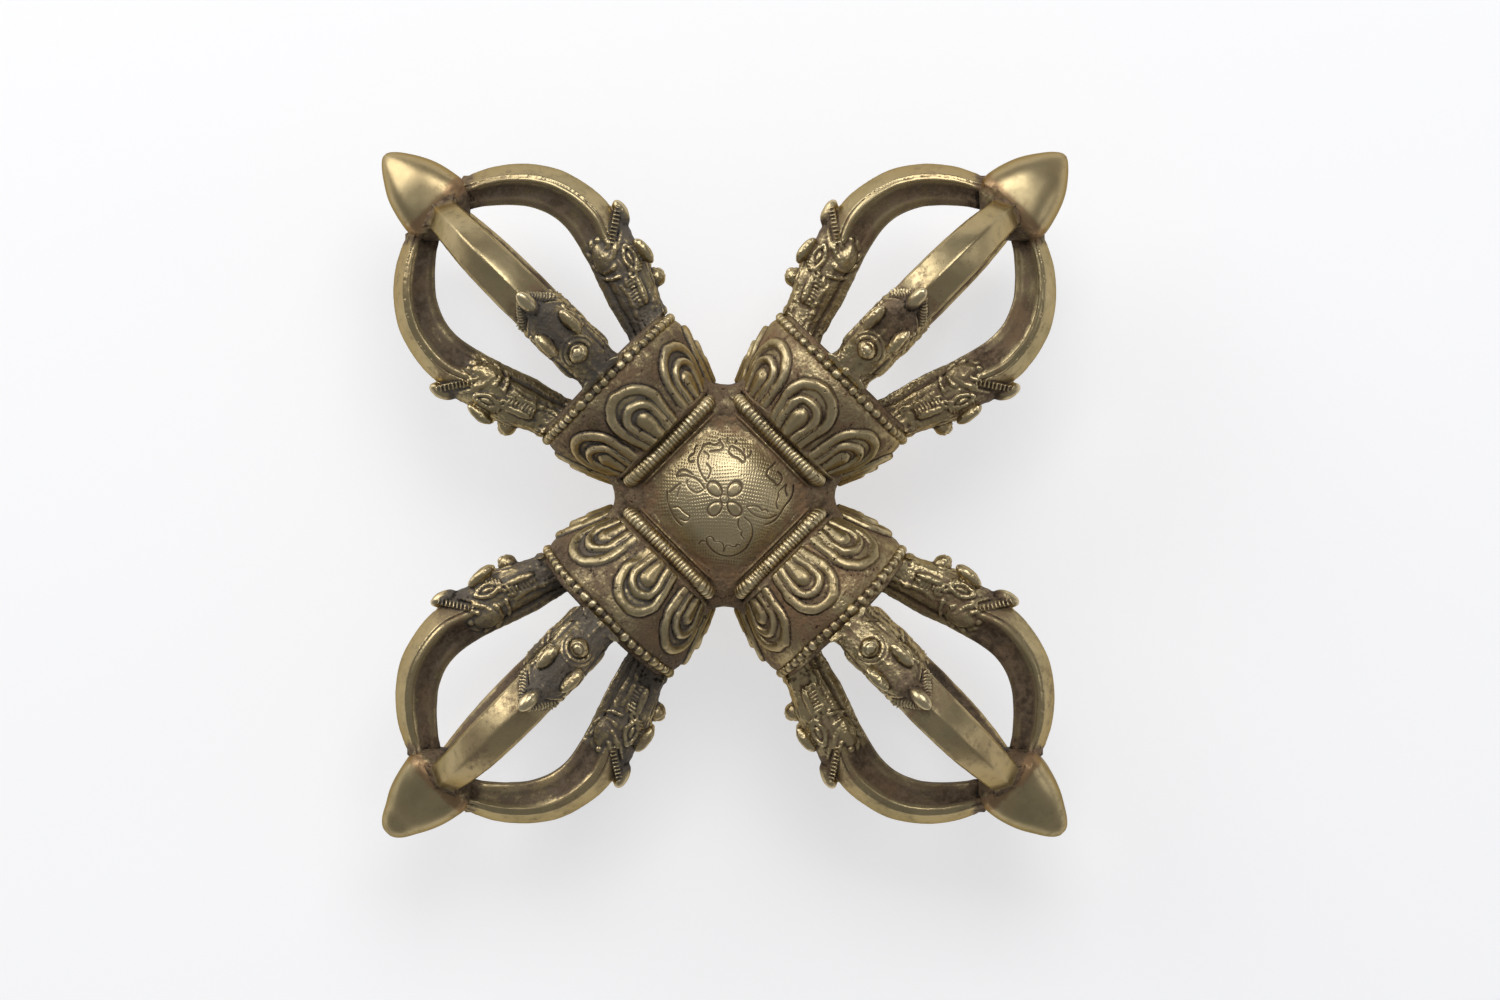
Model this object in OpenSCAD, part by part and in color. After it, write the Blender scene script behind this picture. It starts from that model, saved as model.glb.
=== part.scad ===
// Crossed dorje (double vajra): four arms of five prongs on a square hub.
// Arms lie along +X (east), +Y (north), -X (west) and -Y (south).
// The front boss faces +Z. The object lies on its back: the makara snouts of
// the four back prongs touch Z = 0, under the hub's centre.
// Every arm is drawn along +X, with +Z towards the front, then turned into place.

/* [Arms] */
// Distance from the hub's centre to each point
arm_len = 120; // [118:0.5:126]
// East arm's turn about its own axis, degrees
roll_east = -3; // [-4:0.5:4]
// North arm's turn about its own axis, degrees
roll_north = 0.5; // [-4:0.5:4]
// West arm's turn about its own axis, degrees
roll_west = -0.5; // [-4:0.5:4]
// South arm's turn about its own axis, degrees
roll_south = 1; // [-4:0.5:4]

/* [Hub] */
// Half the width of the hub across its flat sides
hub_half = 17; // [16.5:0.1:17]
// Half the thickness of the hub under the bosses
hub_half_t = 11.5; // [11:0.25:12]
// Radius of the round web in each corner of the hub
web_r = 5; // [4:0.25:5]
// Distance of the web's centre from both arm axes
web_off = 16.2; // [15.5:0.1:16.2]

/* [Bosses] */
// Half the width of the boss's square plate
boss_half = 16.4; // [15.5:0.1:16.4]
// Thickness of the boss's plate at its edge
boss_plate_t = 1.2; // [0.8:0.1:1.6]
// Height of the dome's top above the hub's centre
boss_top = 19.5; // [18:0.25:20]
// Radius of the dome
boss_dome_r = 24; // [22:0.5:30]
// Radius of the spigot that locates the boss in the hub
boss_spigot_r = 6; // [5:0.25:6.5]
// Length of the spigot
boss_spigot_len = 2.5; // [1.5:0.25:3]

/* [Collars] */
// Radius of the collar's neck, inside the ribbed ring
neck_r = 11.5; // [11:0.1:11.6]
// Where the flare starts, from the hub's centre
flare_a = 21.8; // [21.6:0.1:22.4]
// Radius of the rim that carries the beads
rim_r = 21; // [20.6:0.1:21.2]
// Where the collar's end face lies, from the hub's centre
collar_end = 43.5; // [43:0.1:43.5]
// Number of lotus petals round the collar
petals = 8; // [6:1:10]
// How far a petal stands proud of the flare
petal_h = 0.9; // [0.4:0.1:1.2]

/* [Rings] */
// Half the width of the ribbed neck ring's rounded square, to the middle of its wire
neck_ring_r = 13.75; // [13.7:0.05:14]
// Radius of the neck ring's corners, to the middle of its wire
neck_corner_r = 5.5; // [4.5:0.25:7]
// Wire radius of the ribbed neck ring
neck_wire_r = 2.2; // [1.8:0.05:2.2]
// Wire radius of the beaded rim ring
bead_wire_r = 1.35; // [1.0:0.05:1.4]

/* [Central prong] */
// Radius of the tenon that ties point, collar and hub together
tenon_r = 5; // [4:0.1:5]
// Half width of the straight inner prong at the collar
inner_half_root = 4.2; // [3.8:0.1:4.4]
// Half width of the straight inner prong under the point
inner_half_end = 3.4; // [3:0.1:3.4]
// Half width of the point at its base
point_half = 9.9; // [9.6:0.1:10.2]

/* [Outer prongs] */
// Radius of the peg at each prong's root
peg_r = 2.2; // [1.5:0.1:2.4]
// Length of the peg inside the collar
peg_len = 5; // [3:0.5:6]
// Distance of the peg from the arm's axis
peg_off = 15; // [14.5:0.1:15.5]
// Clearance round pegs, tenons and spigots
fit = 0.02; // [0.01:0.01:0.05]

/* [Hidden] */
$fn = 64;
brass = [0.45, 0.37, 0.20];
bright = [0.56, 0.48, 0.26];
dark = [0.30, 0.24, 0.15];

// Stations along an outer prong, from the collar to the point. Each gives the
// inner edge and the outer edge (distance along the arm, distance from its
// axis) and the half width. The outer edge carries the makara head: curl, brow,
// dip and snout, and then the bare prong.
prong_stations = [
    [43.5, 10.4, 43.5, 20.8, 5.2],
    [47.0, 11.3, 46.5, 22.6, 5.4],
    [50.5, 12.3, 49.0, 25.2, 5.6],
    [53.0, 13.0, 51.5, 27.0, 5.7],
    [55.5, 13.7, 54.3, 27.4, 5.8],
    [58.5, 14.6, 57.5, 29.3, 6.2],
    [61.5, 15.5, 60.5, 29.5, 6.2],
    [64.0, 16.3, 62.8, 28.9, 5.9],
    [67.0, 17.2, 66.0, 31.2, 5.9],
    [69.5, 17.9, 68.8, 33.6, 5.9],
    [71.0, 18.2, 70.6, 33.2, 5.9],
    [72.5, 18.5, 72.2, 31.3, 5.9],
    [76.0, 19.1, 76.0, 31.0, 5.8],
    [80.0, 18.6, 82.0, 30.2, 5.7],
    [84.0, 17.0, 87.5, 28.0, 5.6],
    [88.0, 14.2, 92.5, 24.6, 5.4],
    [91.5, 10.8, 97.0, 20.0, 5.1],
    [94.0, 7.8, 100.0, 15.4, 4.8],
    [95.8, 5.6, 101.4, 11.6, 4.4]
];
snout_r = max([for (i = [0 : 2 * len(prong_stations) - 3]) curve(prong_stations, i / 2)[3]]);
// Height of the hub's centre above the surface that the snouts rest on
lift = snout_r;
// Section of a prong: [share of the half width, share of the way from the
// inner edge to the outer edge], once round
prong_section = [
    [0, 1], [-0.52, 0.84], [-0.9, 0.6], [-1, 0.5], [-0.9, 0.4], [-0.42, 0],
    [0.42, 0], [0.9, 0.4], [1, 0.5], [0.9, 0.6], [0.52, 0.84]
];
// Where the bead ring sits on the rim
bead_a = collar_end - 2.3;
bead_seat_a = bead_a - 1.4;
neck_ring_a = (hub_half + flare_a) / 2;
tenon_a = 9;
point_base_a = arm_len - 18;
rolls = [roll_east, roll_north, roll_west, roll_south];

// Puts an arm's piece, drawn along +X, on arm i
module on_arm(i) {
    translate([0, 0, lift]) rotate([0, 0, 90 * i]) rotate([rolls[i], 0, 0]) children();
}

// A cylinder along +X from a0 to a1
module along(a0, a1, r) {
    translate([a0, 0, 0]) rotate([0, 90, 0]) cylinder(h = a1 - a0, r = r);
}

// A solid of revolution about +X from a profile of [distance along, radius]
module turned(profile) {
    rotate([0, 90, 0]) rotate_extrude() polygon([for (p = profile) [p[1], p[0]]]);
}

// A closed solid through rings of equal point count
module loft(rings) {
    m = len(rings[0]);
    k = len(rings);
    points = [for (r = rings) for (p = r) p];
    sides = [
        for (i = [0 : k - 2]) for (j = [0 : m - 1])
            for (t = [0, 1])
                let (a = i * m + j, b = i * m + (j + 1) % m, c = a + m, d = b + m)
                t == 0 ? [a, c, b] : [b, c, d]
    ];
    first = [[for (j = [0 : m - 1]) j]];
    last = [[for (j = [m - 1 : -1 : 0]) (k - 1) * m + j]];
    polyhedron(points = points, faces = concat(first, sides, last), convexity = 6);
}

// Catmull-Rom through a list of vectors, at position s from 0 to len - 1
function blend4(p0, p1, p2, p3, t) =
    0.5 * (2 * p1 + (p2 - p0) * t + (2 * p0 - 5 * p1 + 4 * p2 - p3) * t * t
    + (3 * p1 - p0 - 3 * p2 + p3) * t * t * t);
function curve(P, s) =
    let (n = len(P) - 1, i = min(floor(s), n - 1), t = s - i)
    blend4(P[max(i - 1, 0)], P[i], P[i + 1], P[min(i + 2, n)], t);

// Ring of a prong's section at one station. The prong stands in the XZ plane,
// with its outer edge away from the arm's axis.
function prong_ring(s) = [
    for (q = prong_section)
        [s[0] + (s[2] - s[0]) * q[1], q[0] * s[4], s[1] + (s[3] - s[1]) * q[1]]
];

// Square centre with a socket for each arm, round webs in the corners and a
// hole for each boss's spigot
module hub_block() {
    color(dark) translate([0, 0, lift]) difference() {
        translate([0, 0, -hub_half_t]) linear_extrude(2 * hub_half_t) union() {
            square(2 * hub_half, center = true);
            for (x = [-1, 1], y = [-1, 1]) translate([x * web_off, y * web_off]) circle(web_r);
        }
        for (i = [0 : 3]) rotate([0, 0, 90 * i]) {
            translate([hub_half, 0, 0]) rotate([rolls[i], 0, 0]) rotate([90, 0, 90])
                linear_extrude(12) neck_outline(0.15);
            along(tenon_a - 0.2, hub_half + 1, tenon_r + fit);
        }
        for (z = [-1, 1])
            translate([0, 0, z > 0 ? hub_half_t - boss_spigot_len - 0.2 : -hub_half_t - 1])
                cylinder(h = boss_spigot_len + 1.2, r = boss_spigot_r + fit);
    }
}

// Domed square plate with its spigot, standing on the hub's front face
module boss_plate() {
    translate([0, 0, hub_half_t]) {
        translate([-boss_half, -boss_half, 0]) cube([2 * boss_half, 2 * boss_half, boss_plate_t]);
        translate([0, 0, -boss_spigot_len]) cylinder(h = boss_spigot_len + 0.5, r = boss_spigot_r);
    }
    intersection() {
        translate([0, 0, boss_top - boss_dome_r]) sphere(boss_dome_r);
        translate([1 - boss_half, 1 - boss_half, hub_half_t + boss_plate_t / 2])
            cube([2 * boss_half - 2, 2 * boss_half - 2, 20]);
    }
}

module front_boss() {
    color(bright) translate([0, 0, lift]) boss_plate();
}

module back_boss() {
    color(bright) translate([0, 0, lift]) rotate([180, 0, 0]) boss_plate();
}

// Ribbed ring round the collar's neck: a rounded square of wire, with a flat side
// along each edge of the boss
module neck_ring() {
    flat = neck_ring_r - neck_corner_r;
    color(brass) translate([neck_ring_a, 0, 0]) rotate([0, 90, 0])
        for (i = [0 : 3]) rotate([0, 0, 90 * i]) {
            translate([neck_ring_r, -flat, 0]) rotate([-90, 0, 0])
                cylinder(h = 2 * flat, r = neck_wire_r);
            translate([flat, flat, 0]) rotate_extrude(angle = 90)
                translate([neck_corner_r, 0]) circle(neck_wire_r);
        }
}

// Outline of the neck ring, grown by g
module neck_outline(g) {
    flat = neck_ring_r - neck_corner_r;
    out = neck_ring_r + neck_wire_r + g;
    square([2 * out, 2 * flat], center = true);
    square([2 * flat, 2 * out], center = true);
    for (x = [-1, 1], y = [-1, 1]) translate([x * flat, y * flat])
        circle(neck_corner_r + neck_wire_r + g);
}

// Outline of the flare, with everything grown by g
function flare(g) = [
    [flare_a, 17.6 + g], [25, 18.7 + g], [28.5, 20.2 + g], [32, 21.3 + g],
    [35.5, 21.9 + g], [bead_seat_a, 22.1 + g]
];

// Flared collar: neck, flare with a ring of petals, rim for the beads, bore for
// the tenon and a hole for each prong's peg
module lotus_collar() {
    color(brass) difference() {
        union() {
            turned(concat(
                [[hub_half, 0], [hub_half, neck_r], [flare_a, neck_r]], flare(0),
                [[bead_seat_a, rim_r], [collar_end, rim_r], [collar_end, 0]]
            ));
            intersection() {
                turned(concat([[flare_a + 0.6, 12]], [[flare_a + 0.6, 17.8 + petal_h]],
                    [for (i = [1 : 4]) flare(petal_h)[i]], [[37, 22 + petal_h], [37, 12]]));
                for (i = [0 : petals - 1])
                    rotate([360 / petals * i, 0, 0]) translate([30, 0, 14])
                        cylinder(h = 12, r = 7);
            }
        }
        along(hub_half - 1, collar_end + 1, tenon_r + fit);
        for (i = [0 : 3]) rotate([90 * i, 0, 0]) translate([0, 0, peg_off])
            along(collar_end - peg_len - 0.2, collar_end + 1, peg_r + fit);
    }
}

// Beaded wire on the rim
module bead_ring() {
    color(bright) translate([bead_a, 0, 0]) rotate([0, 90, 0]) rotate_extrude() union() {
        translate([rim_r + fit, -1.35]) square([0.9, 2.7]);
        translate([rim_r + 0.75, 0]) circle(bead_wire_r);
    }
}

// Ring of the point's section: a square with rounded corners
function point_ring(a, h, e) = [
    for (i = [0 : 19])
        let (t = 18 * i + 9, c = cos(t), s = sin(t))
        [a, sign(c) * h * pow(abs(c), e), sign(s) * h * pow(abs(s), e)]
];

// Tenon, straight inner prong and four-sided point in one piece
module central_prong() {
    color(bright) {
        along(tenon_a, collar_end + 0.5, tenon_r);
        loft([
            point_ring(collar_end, inner_half_root, 0.35),
            point_ring(93.7, inner_half_end, 0.35),
            point_ring(95.8, 5.4, 0.4),
            point_ring(point_base_a - 2.4, point_half - 0.45, 0.5),
            point_ring(point_base_a - 1.2, point_half - 0.05, 0.55),
            point_ring(point_base_a + 1, point_half, 0.6),
            point_ring(point_base_a + 3, point_half - 0.4, 0.6),
            point_ring(point_base_a + 6, point_half - 1.2, 0.65),
            point_ring(point_base_a + 9.5, point_half - 2.5, 0.7),
            point_ring(point_base_a + 12.5, point_half - 4.3, 0.75),
            point_ring(point_base_a + 15.3, point_half - 6.5, 0.85),
            point_ring(point_base_a + 17, point_half - 8.2, 0.95),
            point_ring(arm_len, 0.35, 1)
        ]);
    }
}

// Curved prong with its makara head, and its peg. Drawn on the front (+Z) side.
module prong() {
    n = len(prong_stations) - 1;
    color(bright) {
        loft([for (i = [0 : 2 * n - 1]) prong_ring(curve(prong_stations, i / 2)),
            prong_ring(prong_stations[n])]);
        translate([0, 0, peg_off]) along(collar_end - peg_len, collar_end + 1.5, peg_r);
    }
}

module prong_front() { prong(); }
module prong_back() { rotate([180, 0, 0]) prong(); }
module prong_left() { rotate([-90, 0, 0]) prong(); }
module prong_right() { rotate([90, 0, 0]) prong(); }

hub_block();
front_boss();
back_boss();

on_arm(0) neck_ring();  // east_neck_ring
on_arm(0) lotus_collar();  // east_lotus_collar
on_arm(0) bead_ring();  // east_bead_ring
on_arm(0) central_prong();  // east_central_prong
on_arm(0) prong_front();  // east_prong_front
on_arm(0) prong_back();  // east_prong_back
on_arm(0) prong_left();  // east_prong_left
on_arm(0) prong_right();  // east_prong_right

on_arm(1) neck_ring();  // north_neck_ring
on_arm(1) lotus_collar();  // north_lotus_collar
on_arm(1) bead_ring();  // north_bead_ring
on_arm(1) central_prong();  // north_central_prong
on_arm(1) prong_front();  // north_prong_front
on_arm(1) prong_back();  // north_prong_back
on_arm(1) prong_left();  // north_prong_left
on_arm(1) prong_right();  // north_prong_right

on_arm(2) neck_ring();  // west_neck_ring
on_arm(2) lotus_collar();  // west_lotus_collar
on_arm(2) bead_ring();  // west_bead_ring
on_arm(2) central_prong();  // west_central_prong
on_arm(2) prong_front();  // west_prong_front
on_arm(2) prong_back();  // west_prong_back
on_arm(2) prong_left();  // west_prong_left
on_arm(2) prong_right();  // west_prong_right

on_arm(3) neck_ring();  // south_neck_ring
on_arm(3) lotus_collar();  // south_lotus_collar
on_arm(3) bead_ring();  // south_bead_ring
on_arm(3) central_prong();  // south_central_prong
on_arm(3) prong_front();  // south_prong_front
on_arm(3) prong_back();  // south_prong_back
on_arm(3) prong_left();  // south_prong_left
on_arm(3) prong_right();  // south_prong_right
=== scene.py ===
"""Looks for a crossed dorje: sculpted prongs with makara heads, lotus collars,
wound neck rings, beaded rims, chased bosses and four-sided points, in worn
brass with brown patina. All shapes are computed here in millimetres, in each
arm's own frame, and turned into the frame's place."""

import math

import bpy
import numpy as np
from mathutils import Matrix, Vector


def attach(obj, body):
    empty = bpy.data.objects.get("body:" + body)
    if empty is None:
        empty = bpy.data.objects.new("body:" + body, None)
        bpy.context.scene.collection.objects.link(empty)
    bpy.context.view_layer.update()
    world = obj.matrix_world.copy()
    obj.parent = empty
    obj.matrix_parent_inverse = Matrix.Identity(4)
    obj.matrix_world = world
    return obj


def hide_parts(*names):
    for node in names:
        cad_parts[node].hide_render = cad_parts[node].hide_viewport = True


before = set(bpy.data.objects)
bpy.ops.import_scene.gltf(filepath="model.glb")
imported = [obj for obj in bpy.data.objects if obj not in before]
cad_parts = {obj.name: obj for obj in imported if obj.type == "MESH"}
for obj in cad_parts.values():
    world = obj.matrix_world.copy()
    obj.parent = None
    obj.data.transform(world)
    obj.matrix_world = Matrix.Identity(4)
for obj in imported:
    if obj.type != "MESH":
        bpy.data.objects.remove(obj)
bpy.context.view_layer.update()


LIFT = 33.669
ARMS = [("east", 0, -3.0), ("north", 1, 0.5), ("west", 2, -0.5), ("south", 3, 1.0)]

# ---------------------------------------------------------------- numbers


def smoothstep(lo, hi, x):
    t = np.clip((x - lo) / (hi - lo), 0.0, 1.0)
    return t * t * (3 - 2 * t)


def smin(a, b, k):
    h = np.clip(0.5 + 0.5 * (b - a) / k, 0.0, 1.0)
    return b + (a - b) * h - k * h * (1 - h)


def lattice(ix, iy, iz, seed):
    n = (
        ix.astype(np.uint32) * np.uint32(0x8DA6B343)
        ^ iy.astype(np.uint32) * np.uint32(0xD8163841)
        ^ iz.astype(np.uint32) * np.uint32(0xCB1AB31F)
        ^ np.uint32((seed * 0x9E3779B1) & 0xFFFFFFFF)
    )
    n ^= n >> np.uint32(13)
    n *= np.uint32(0x5BD1E995)
    n ^= n >> np.uint32(15)
    n *= np.uint32(0x27D4EB2D)
    n ^= n >> np.uint32(13)
    return n.astype(np.float64) / 4294967296.0


def noise(P, freq, seed=0):
    """Value noise from -1 to 1 at points P (n, 3), with freq cells per millimetre."""
    q = np.asarray(P, np.float64) * freq + 0.37 * seed
    i = np.floor(q).astype(np.int64)
    f = q - i
    u = f * f * (3 - 2 * f)
    out = np.zeros(len(q))
    for dx in (0, 1):
        wx = u[:, 0] if dx else 1 - u[:, 0]
        for dy in (0, 1):
            wy = u[:, 1] if dy else 1 - u[:, 1]
            for dz in (0, 1):
                wz = u[:, 2] if dz else 1 - u[:, 2]
                out += wx * wy * wz * lattice(i[:, 0] + dx, i[:, 1] + dy, i[:, 2] + dz, seed)
    return out * 2 - 1


def fbm(P, freq, octaves=3, seed=0):
    out, amp, total = 0.0, 1.0, 0.0
    for k in range(octaves):
        out = out + amp * noise(P, freq * 2**k, seed + 7 * k)
        total += amp
        amp *= 0.5
    return out / total


def spline(points, per=10):
    """Catmull-Rom through given points."""
    P = np.asarray(points, float)
    n = len(P) - 1
    t = np.arange(n * per + 1) / per
    i = np.minimum(t.astype(int), n - 1)
    u = (t - i)[:, None]
    p0, p1 = P[np.maximum(i - 1, 0)], P[i]
    p2, p3 = P[i + 1], P[np.minimum(i + 2, n)]
    return 0.5 * (
        2 * p1
        + (p2 - p0) * u
        + (2 * p0 - 5 * p1 + 4 * p2 - p3) * u**2
        + (3 * p1 - p0 - 3 * p2 + p3) * u**3
    )


def side_of(A, R, line):
    """Signed distance of (A, R) from an open line, positive on its left, and the
    line's first coordinate at the nearest point."""
    best = np.full(A.shape, 1e9)
    sign = np.ones(A.shape)
    near = np.zeros(A.shape)
    for (x0, y0), (x1, y1) in zip(line[:-1], line[1:]):
        dx, dy = x1 - x0, y1 - y0
        t = np.clip(((A - x0) * dx + (R - y0) * dy) / (dx * dx + dy * dy), 0, 1)
        qx, qy = A - (x0 + t * dx), R - (y0 + t * dy)
        d = qx * qx + qy * qy
        m = d < best
        best = np.where(m, d, best)
        sign = np.where(m, np.sign(dx * qy - dy * qx), sign)
        near = np.where(m, x0 + t * dx, near)
    return np.sqrt(best) * sign, near


# ---------------------------------------------------------------- meshing


def surface_nets(f, origin, h):
    """Closed quad mesh of f = 0 (f is negative inside), its largest shell only."""
    f = np.array(f, float)
    # closed at the border of the grid
    for axis in range(3):
        for end in (0, -1):
            s = [slice(None)] * 3
            s[axis] = end
            f[tuple(s)] = np.maximum(f[tuple(s)], 0.25 * h)
    # no two inside corners of a grid square meet only at a point
    for _ in range(16):
        found = 0
        for p, q in ((0, 1), (0, 2), (1, 2)):
            part = {}
            for i in (0, 1):
                for j in (0, 1):
                    s = [slice(None)] * 3
                    s[p] = slice(i, f.shape[p] - 1 + i)
                    s[q] = slice(j, f.shape[q] - 1 + j)
                    part[i, j] = f[tuple(s)]
            for one, two, three, four in (((0, 0), (1, 1), (0, 1), (1, 0)), ((0, 1), (1, 0), (0, 0), (1, 1))):
                m = (part[one] < 0) & (part[two] < 0) & (part[three] >= 0) & (part[four] >= 0)
                found += int(m.sum())
                part[three][m] = -0.05 * h
        if not found:
            break
    inside = f < 0
    nx, ny, nz = f.shape
    count = np.zeros((nx - 1, ny - 1, nz - 1), np.int8)
    for i in (0, 1):
        for j in (0, 1):
            for k in (0, 1):
                count += inside[i : nx - 1 + i, j : ny - 1 + j, k : nz - 1 + k]
    active = (count > 0) & (count < 8)
    index = np.full(active.shape, -1, np.int64)
    cells = np.argwhere(active)
    index[active] = np.arange(len(cells))
    corner = [(i, j, k) for i in (0, 1) for j in (0, 1) for k in (0, 1)]
    edges = [
        (a, b)
        for a in range(8)
        for b in range(a + 1, 8)
        if sum(abs(p - q) for p, q in zip(corner[a], corner[b])) == 1
    ]
    value = [f[cells[:, 0] + c[0], cells[:, 1] + c[1], cells[:, 2] + c[2]] for c in corner]
    total = np.zeros((len(cells), 3))
    number = np.zeros(len(cells))
    for a, b in edges:
        m = (value[a] < 0) != (value[b] < 0)
        t = value[a][m] / (value[a][m] - value[b][m])
        total[m] += np.array(corner[a]) + t[:, None] * (np.array(corner[b]) - np.array(corner[a]))
        number[m] += 1
    V = cells + total / number[:, None]
    faces = []
    for axis in range(3):
        o = [k for k in range(3) if k != axis]
        lo = [slice(None)] * 3
        hi = [slice(None)] * 3
        lo[axis], hi[axis] = slice(0, -1), slice(1, None)
        for k in o:
            lo[k] = hi[k] = slice(1, -1)
        s0, s1 = inside[tuple(lo)], inside[tuple(hi)]
        e = np.argwhere(s0 != s1)
        out = s0[s0 != s1]
        e[:, o[0]] += 1
        e[:, o[1]] += 1
        ring = []
        for d0, d1 in ((-1, -1), (0, -1), (0, 0), (-1, 0)):
            c = e.copy()
            c[:, o[0]] += d0
            c[:, o[1]] += d1
            ring.append(index[c[:, 0], c[:, 1], c[:, 2]])
        quad = np.stack(ring, 1)
        flip = out if axis != 1 else ~out
        quad[~flip] = quad[~flip][:, ::-1]
        faces.append(quad)
    F = np.concatenate(faces)
    # settle the points on the surface
    g = np.stack(np.gradient(f), -1)

    def sample(field, Q):
        i = np.clip(np.floor(Q).astype(int), 0, np.array(f.shape) - 2)
        u = Q - i
        out = 0
        for c in corner:
            wgt = np.ones(len(Q))
            for k in range(3):
                wgt = wgt * (u[:, k] if c[k] else 1 - u[:, k])
            s = field[i[:, 0] + c[0], i[:, 1] + c[1], i[:, 2] + c[2]]
            out = out + (s * wgt if s.ndim == 1 else s * wgt[:, None])
        return out

    E = edges_of(F)
    for _ in range(3):
        V = 0.5 * V + 0.5 * around(V, E)
        d, n = sample(f, V), sample(g, V)
        step = d[:, None] * n / np.maximum((n * n).sum(1), 1e-6)[:, None]
        V = V - np.clip(step, -0.6, 0.6)
    # the largest shell
    label = np.arange(len(V))
    while True:
        low = label.copy()
        np.minimum.at(low, F.ravel(), np.repeat(label[F].min(1), 4))
        low = low[low]
        if (low == label).all():
            break
        label = low
    keep = label == np.bincount(label[F[:, 0]]).argmax()
    F = F[keep[F[:, 0]]]
    number = np.cumsum(keep) - 1
    return V[keep] * h + np.asarray(origin), number[F]


def edges_of(F):
    F = np.asarray(F)
    k = F.shape[1]
    e = np.concatenate([np.stack([F[:, i], F[:, (i + 1) % k]], 1) for i in range(k)])
    return np.unique(np.sort(e, 1), axis=0)


def around(V, E):
    """Mean of each point's neighbours."""
    n = len(V)
    deg = np.bincount(E.ravel(), minlength=n).astype(float)
    out = np.empty_like(V)
    for c in range(V.shape[1]):
        out[:, c] = np.bincount(E[:, 0], V[E[:, 1], c], n) + np.bincount(E[:, 1], V[E[:, 0], c], n)
    return out / np.maximum(deg, 1)[:, None]


def normals_of(V, F):
    a, b = V[F[:, 2]] - V[F[:, 0]], V[F[:, 3]] - V[F[:, 1]]
    n = np.cross(a, b)
    out = np.zeros_like(V)
    for k in range(4):
        for c in range(3):
            out[:, c] += np.bincount(F[:, k], n[:, c], len(V))
    return out / np.maximum(np.linalg.norm(out, axis=1), 1e-12)[:, None]


def relief_of(V, F, steps):
    """How far each point stands above (+) or below (-) its smoothed surroundings."""
    E = edges_of(F)
    N = normals_of(V, F)
    S = V.copy()
    out = []
    done = 0
    for s in steps:
        for _ in range(s - done):
            S = 0.4 * S + 0.6 * around(S, E)
        done = s
        out.append(((V - S) * N).sum(1))
    return out


def wrap_grid(nu, nv):
    """Quads of a grid closed both ways."""
    i, j = np.meshgrid(np.arange(nu), np.arange(nv), indexing="ij")
    a = i * nv + j
    b = ((i + 1) % nu) * nv + j
    c = ((i + 1) % nu) * nv + (j + 1) % nv
    d = i * nv + (j + 1) % nv
    return np.stack([a.ravel(), b.ravel(), c.ravel(), d.ravel()], 1)


# ---------------------------------------------------------------- placing


def rot_x(deg):
    c, s = math.cos(math.radians(deg)), math.sin(math.radians(deg))
    return np.array([[1, 0, 0], [0, c, -s], [0, s, c]])


def rot_z(deg):
    c, s = math.cos(math.radians(deg)), math.sin(math.radians(deg))
    return np.array([[c, -s, 0], [s, c, 0], [0, 0, 1]])


def arm_turn(i, roll):
    return np.round(rot_z(90 * i), 12) @ rot_x(roll)


def add_piece(name, node, V, F, look, material, turn=None, extra=()):
    """V in millimetres in the arm's frame. look is (n, 5): cavity, wear, stipple,
    dark, red. extra holds further faces of other sizes."""
    if turn is not None:
        V = V @ turn.T
    V = V + np.array([0, 0, LIFT])
    loops = np.concatenate([np.asarray(F).ravel()] + [np.asarray(x).ravel() for x in extra])
    starts = np.arange(len(F)) * F.shape[1]
    at = len(F) * F.shape[1]
    more = []
    for x in extra:
        more.append(at)
        at += len(np.asarray(x).ravel())
    starts = np.concatenate([starts, np.array(more, int)]).astype(np.int32)
    me = bpy.data.meshes.new(name)
    me.vertices.add(len(V))
    me.vertices.foreach_set("co", (V / 1000).astype(np.float32).ravel())
    me.loops.add(len(loops))
    me.loops.foreach_set("vertex_index", loops.astype(np.int32))
    me.polygons.add(len(starts))
    me.polygons.foreach_set("loop_start", starts)
    me.polygons.foreach_set("use_smooth", np.ones(len(starts), bool))
    me.update(calc_edges=True)
    me.validate()
    look = np.asarray(look, np.float32)
    att = me.attributes.new("pat", "FLOAT_COLOR", "POINT")
    att.data.foreach_set("color", np.ascontiguousarray(look[:, :4]).ravel())
    red = me.attributes.new("red", "FLOAT", "POINT")
    red.data.foreach_set("value", np.ascontiguousarray(look[:, 4]))
    me.materials.append(material)
    ob = bpy.data.objects.new(name, me)
    bpy.context.collection.objects.link(ob)
    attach(ob, "root")
    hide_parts(node)
    return ob


# ---------------------------------------------------------------- material


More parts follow.
